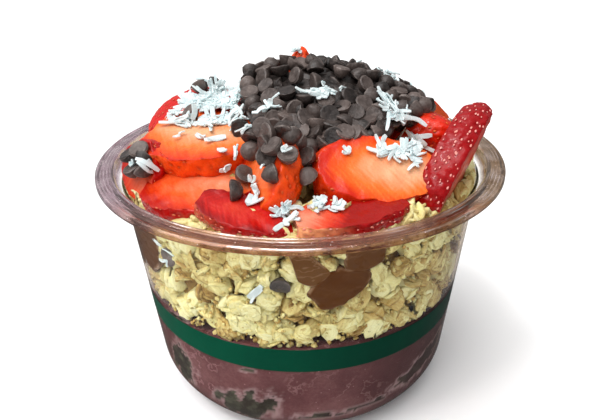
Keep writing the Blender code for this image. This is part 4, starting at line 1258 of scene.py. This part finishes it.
# The strips fall on the fruit and the drops, on the inside of the wall, and at the left on a sheet
# that bridges the gap between the fruit and the mound, in place of the strips that lie below.
by_wall = np.linspace(GRANOLA_RIM, 42.0, 12)
sheet = turned(np.stack([inner_wall(by_wall) - 0.3, by_wall], -1), 96)
across, along = np.meshgrid(np.linspace(-26.0, -15.0, 8), np.linspace(-8.0, 12.0, 12))
bridge = np.stack([across, along, 88.0 + 0.2 * (across + 21.0)], -1).reshape(-1, 3)
links = (np.arange(11)[:, None] * 8 + np.arange(7)).reshape(-1, 1) + np.array([0, 1, 9, 8])
sheets = [(sheet.reshape(-1, 3), [grid_faces(12, 96)]), (bridge, [links])]
topping_tree = tree_of(solids + sheets + [drop_body])
_, facing = nearest_skin(topping_tree, rows[:, :3] + [0.0, -1.0, 2.0])
level = np.cross(np.broadcast_to([0.0, 0.0, 1.0], facing.shape), facing + [0.0, -0.01, 0.0])
level /= np.linalg.norm(level, axis=1, keepdims=True)
slope = np.cross(facing, level)
offset = np.clip(dice.normal(0, 0.5, (count, 2)), -1.1, 1.1) * rows[:, 3:5]
spot = rows[:, :3] + level * offset[:, :1] + slope * offset[:, 1:] + facing * 1.5
length = np.maximum(dice.uniform(0.4, 1.25, count) * rows[:, 6], 2.0)
one_way = np.repeat(dice.uniform(0, 2 * np.pi, len(PATCHES)), [patch[3] for patch in PATCHES])
heading, bend = one_way + dice.normal(0, 0.65, count), dice.normal(0, 0.13, count)
way = level * np.cos(heading)[:, None] + slope * np.sin(heading)[:, None]
lift = dice.uniform(0.25, 1.3, count)
path, ground = [], []
for step in range(SHRED_POINTS):
    resting, upwards = nearest_skin(topping_tree, spot)
    path.append(resting + upwards * lift[:, None])
    ground.append(upwards)
    way = way - upwards * (way * upwards).sum(axis=1, keepdims=True)
    way /= np.linalg.norm(way, axis=1, keepdims=True) + 1e-9
    way = way * np.cos(bend)[:, None] + np.cross(upwards, way) * np.sin(bend)[:, None]
    spot = resting + upwards * 1.3 + way * (length / (SHRED_POINTS - 1))[:, None]
path, ground = np.stack(path, axis=1), np.stack(ground, axis=1)
far = np.hypot(path[..., 0], path[..., 1])
within = inner_wall(path[..., 2]) / far
path[..., :2] *= np.where(path[..., 2] < GRANOLA_RIM, within, 1.0)[..., None]
for _ in range(8):
    path[:, 1:-1] = (path[:, :-2] + 2 * path[:, 1:-1] + path[:, 2:]) / 4
step = (np.arange(SHRED_POINTS) / (SHRED_POINTS - 1) - 0.5)[None, :]
curl = np.abs(dice.normal(0, 0.45, (count, 1))) * np.clip(step + 0.1, 0, None) ** 2 * 4
path = path + ground * curl[..., None]
ahead = np.gradient(path, axis=1)
ahead /= np.linalg.norm(ahead, axis=-1, keepdims=True) + 1e-9
over = ground.mean(axis=1, keepdims=True)
beside = np.cross(ahead, np.broadcast_to(over, ahead.shape))
beside /= np.linalg.norm(beside, axis=-1, keepdims=True) + 1e-9
over = np.cross(beside, ahead)
twist = dice.uniform(-0.5, 0.5, (count, 1)) + dice.normal(0, 0.6, (count, 1)) * step
twist = twist * (path[..., 2] > GRANOLA_RIM)
wide = dice.uniform(0.35, 0.75, (count, 1)) * (1 - 0.35 * np.abs(2 * step) ** 6)
wide = wide * dice.uniform(0.94, 1.06, twist.shape)
side_way = beside * np.cos(twist)[..., None] + over * np.sin(twist)[..., None]
flat_way = over * np.cos(twist)[..., None] - beside * np.sin(twist)[..., None]
corner = np.array([(1, 1), (-1, 1), (-1, -1), (1, -1)])
rings = path[:, :, None] + side_way[:, :, None] * (wide[..., None] * corner[:, 0])[..., None]
rings = rings + flat_way[:, :, None] * (SHRED_THICK * corner[:, 1])[None, None, :, None]
_, faces = closed_rings(rings[0])
ends_in = np.stack([rings[:, 0].mean(axis=1), rings[:, -1].mean(axis=1)], axis=1)
shreds = np.concatenate([rings.reshape(count, -1, 3), ends_in], axis=1)
faces = repeated(faces, *shreds.shape[:2])

coconut = Finish("shredded_coconut", {
    "Roughness": 0.4, "Subsurface Weight": 0.35, "Subsurface Scale": 0.0012,
    "Subsurface Radius": (0.8, 1.0, 1.0),
})
coconut.feed("Base Color", coconut.mix(coconut.cloud(3.0), shade(190, 216, 222), shade(238, 245, 242)))
coconut.relief(coconut.cloud(0.8, detail=3.0), 0.06)
shred_piece = surface("coconut_shreds", shreds.reshape(-1, 3), faces, coconut)
shred_piece.data.set_sharp_from_angle(angle=np.radians(50.0))
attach(shred_piece, "root")
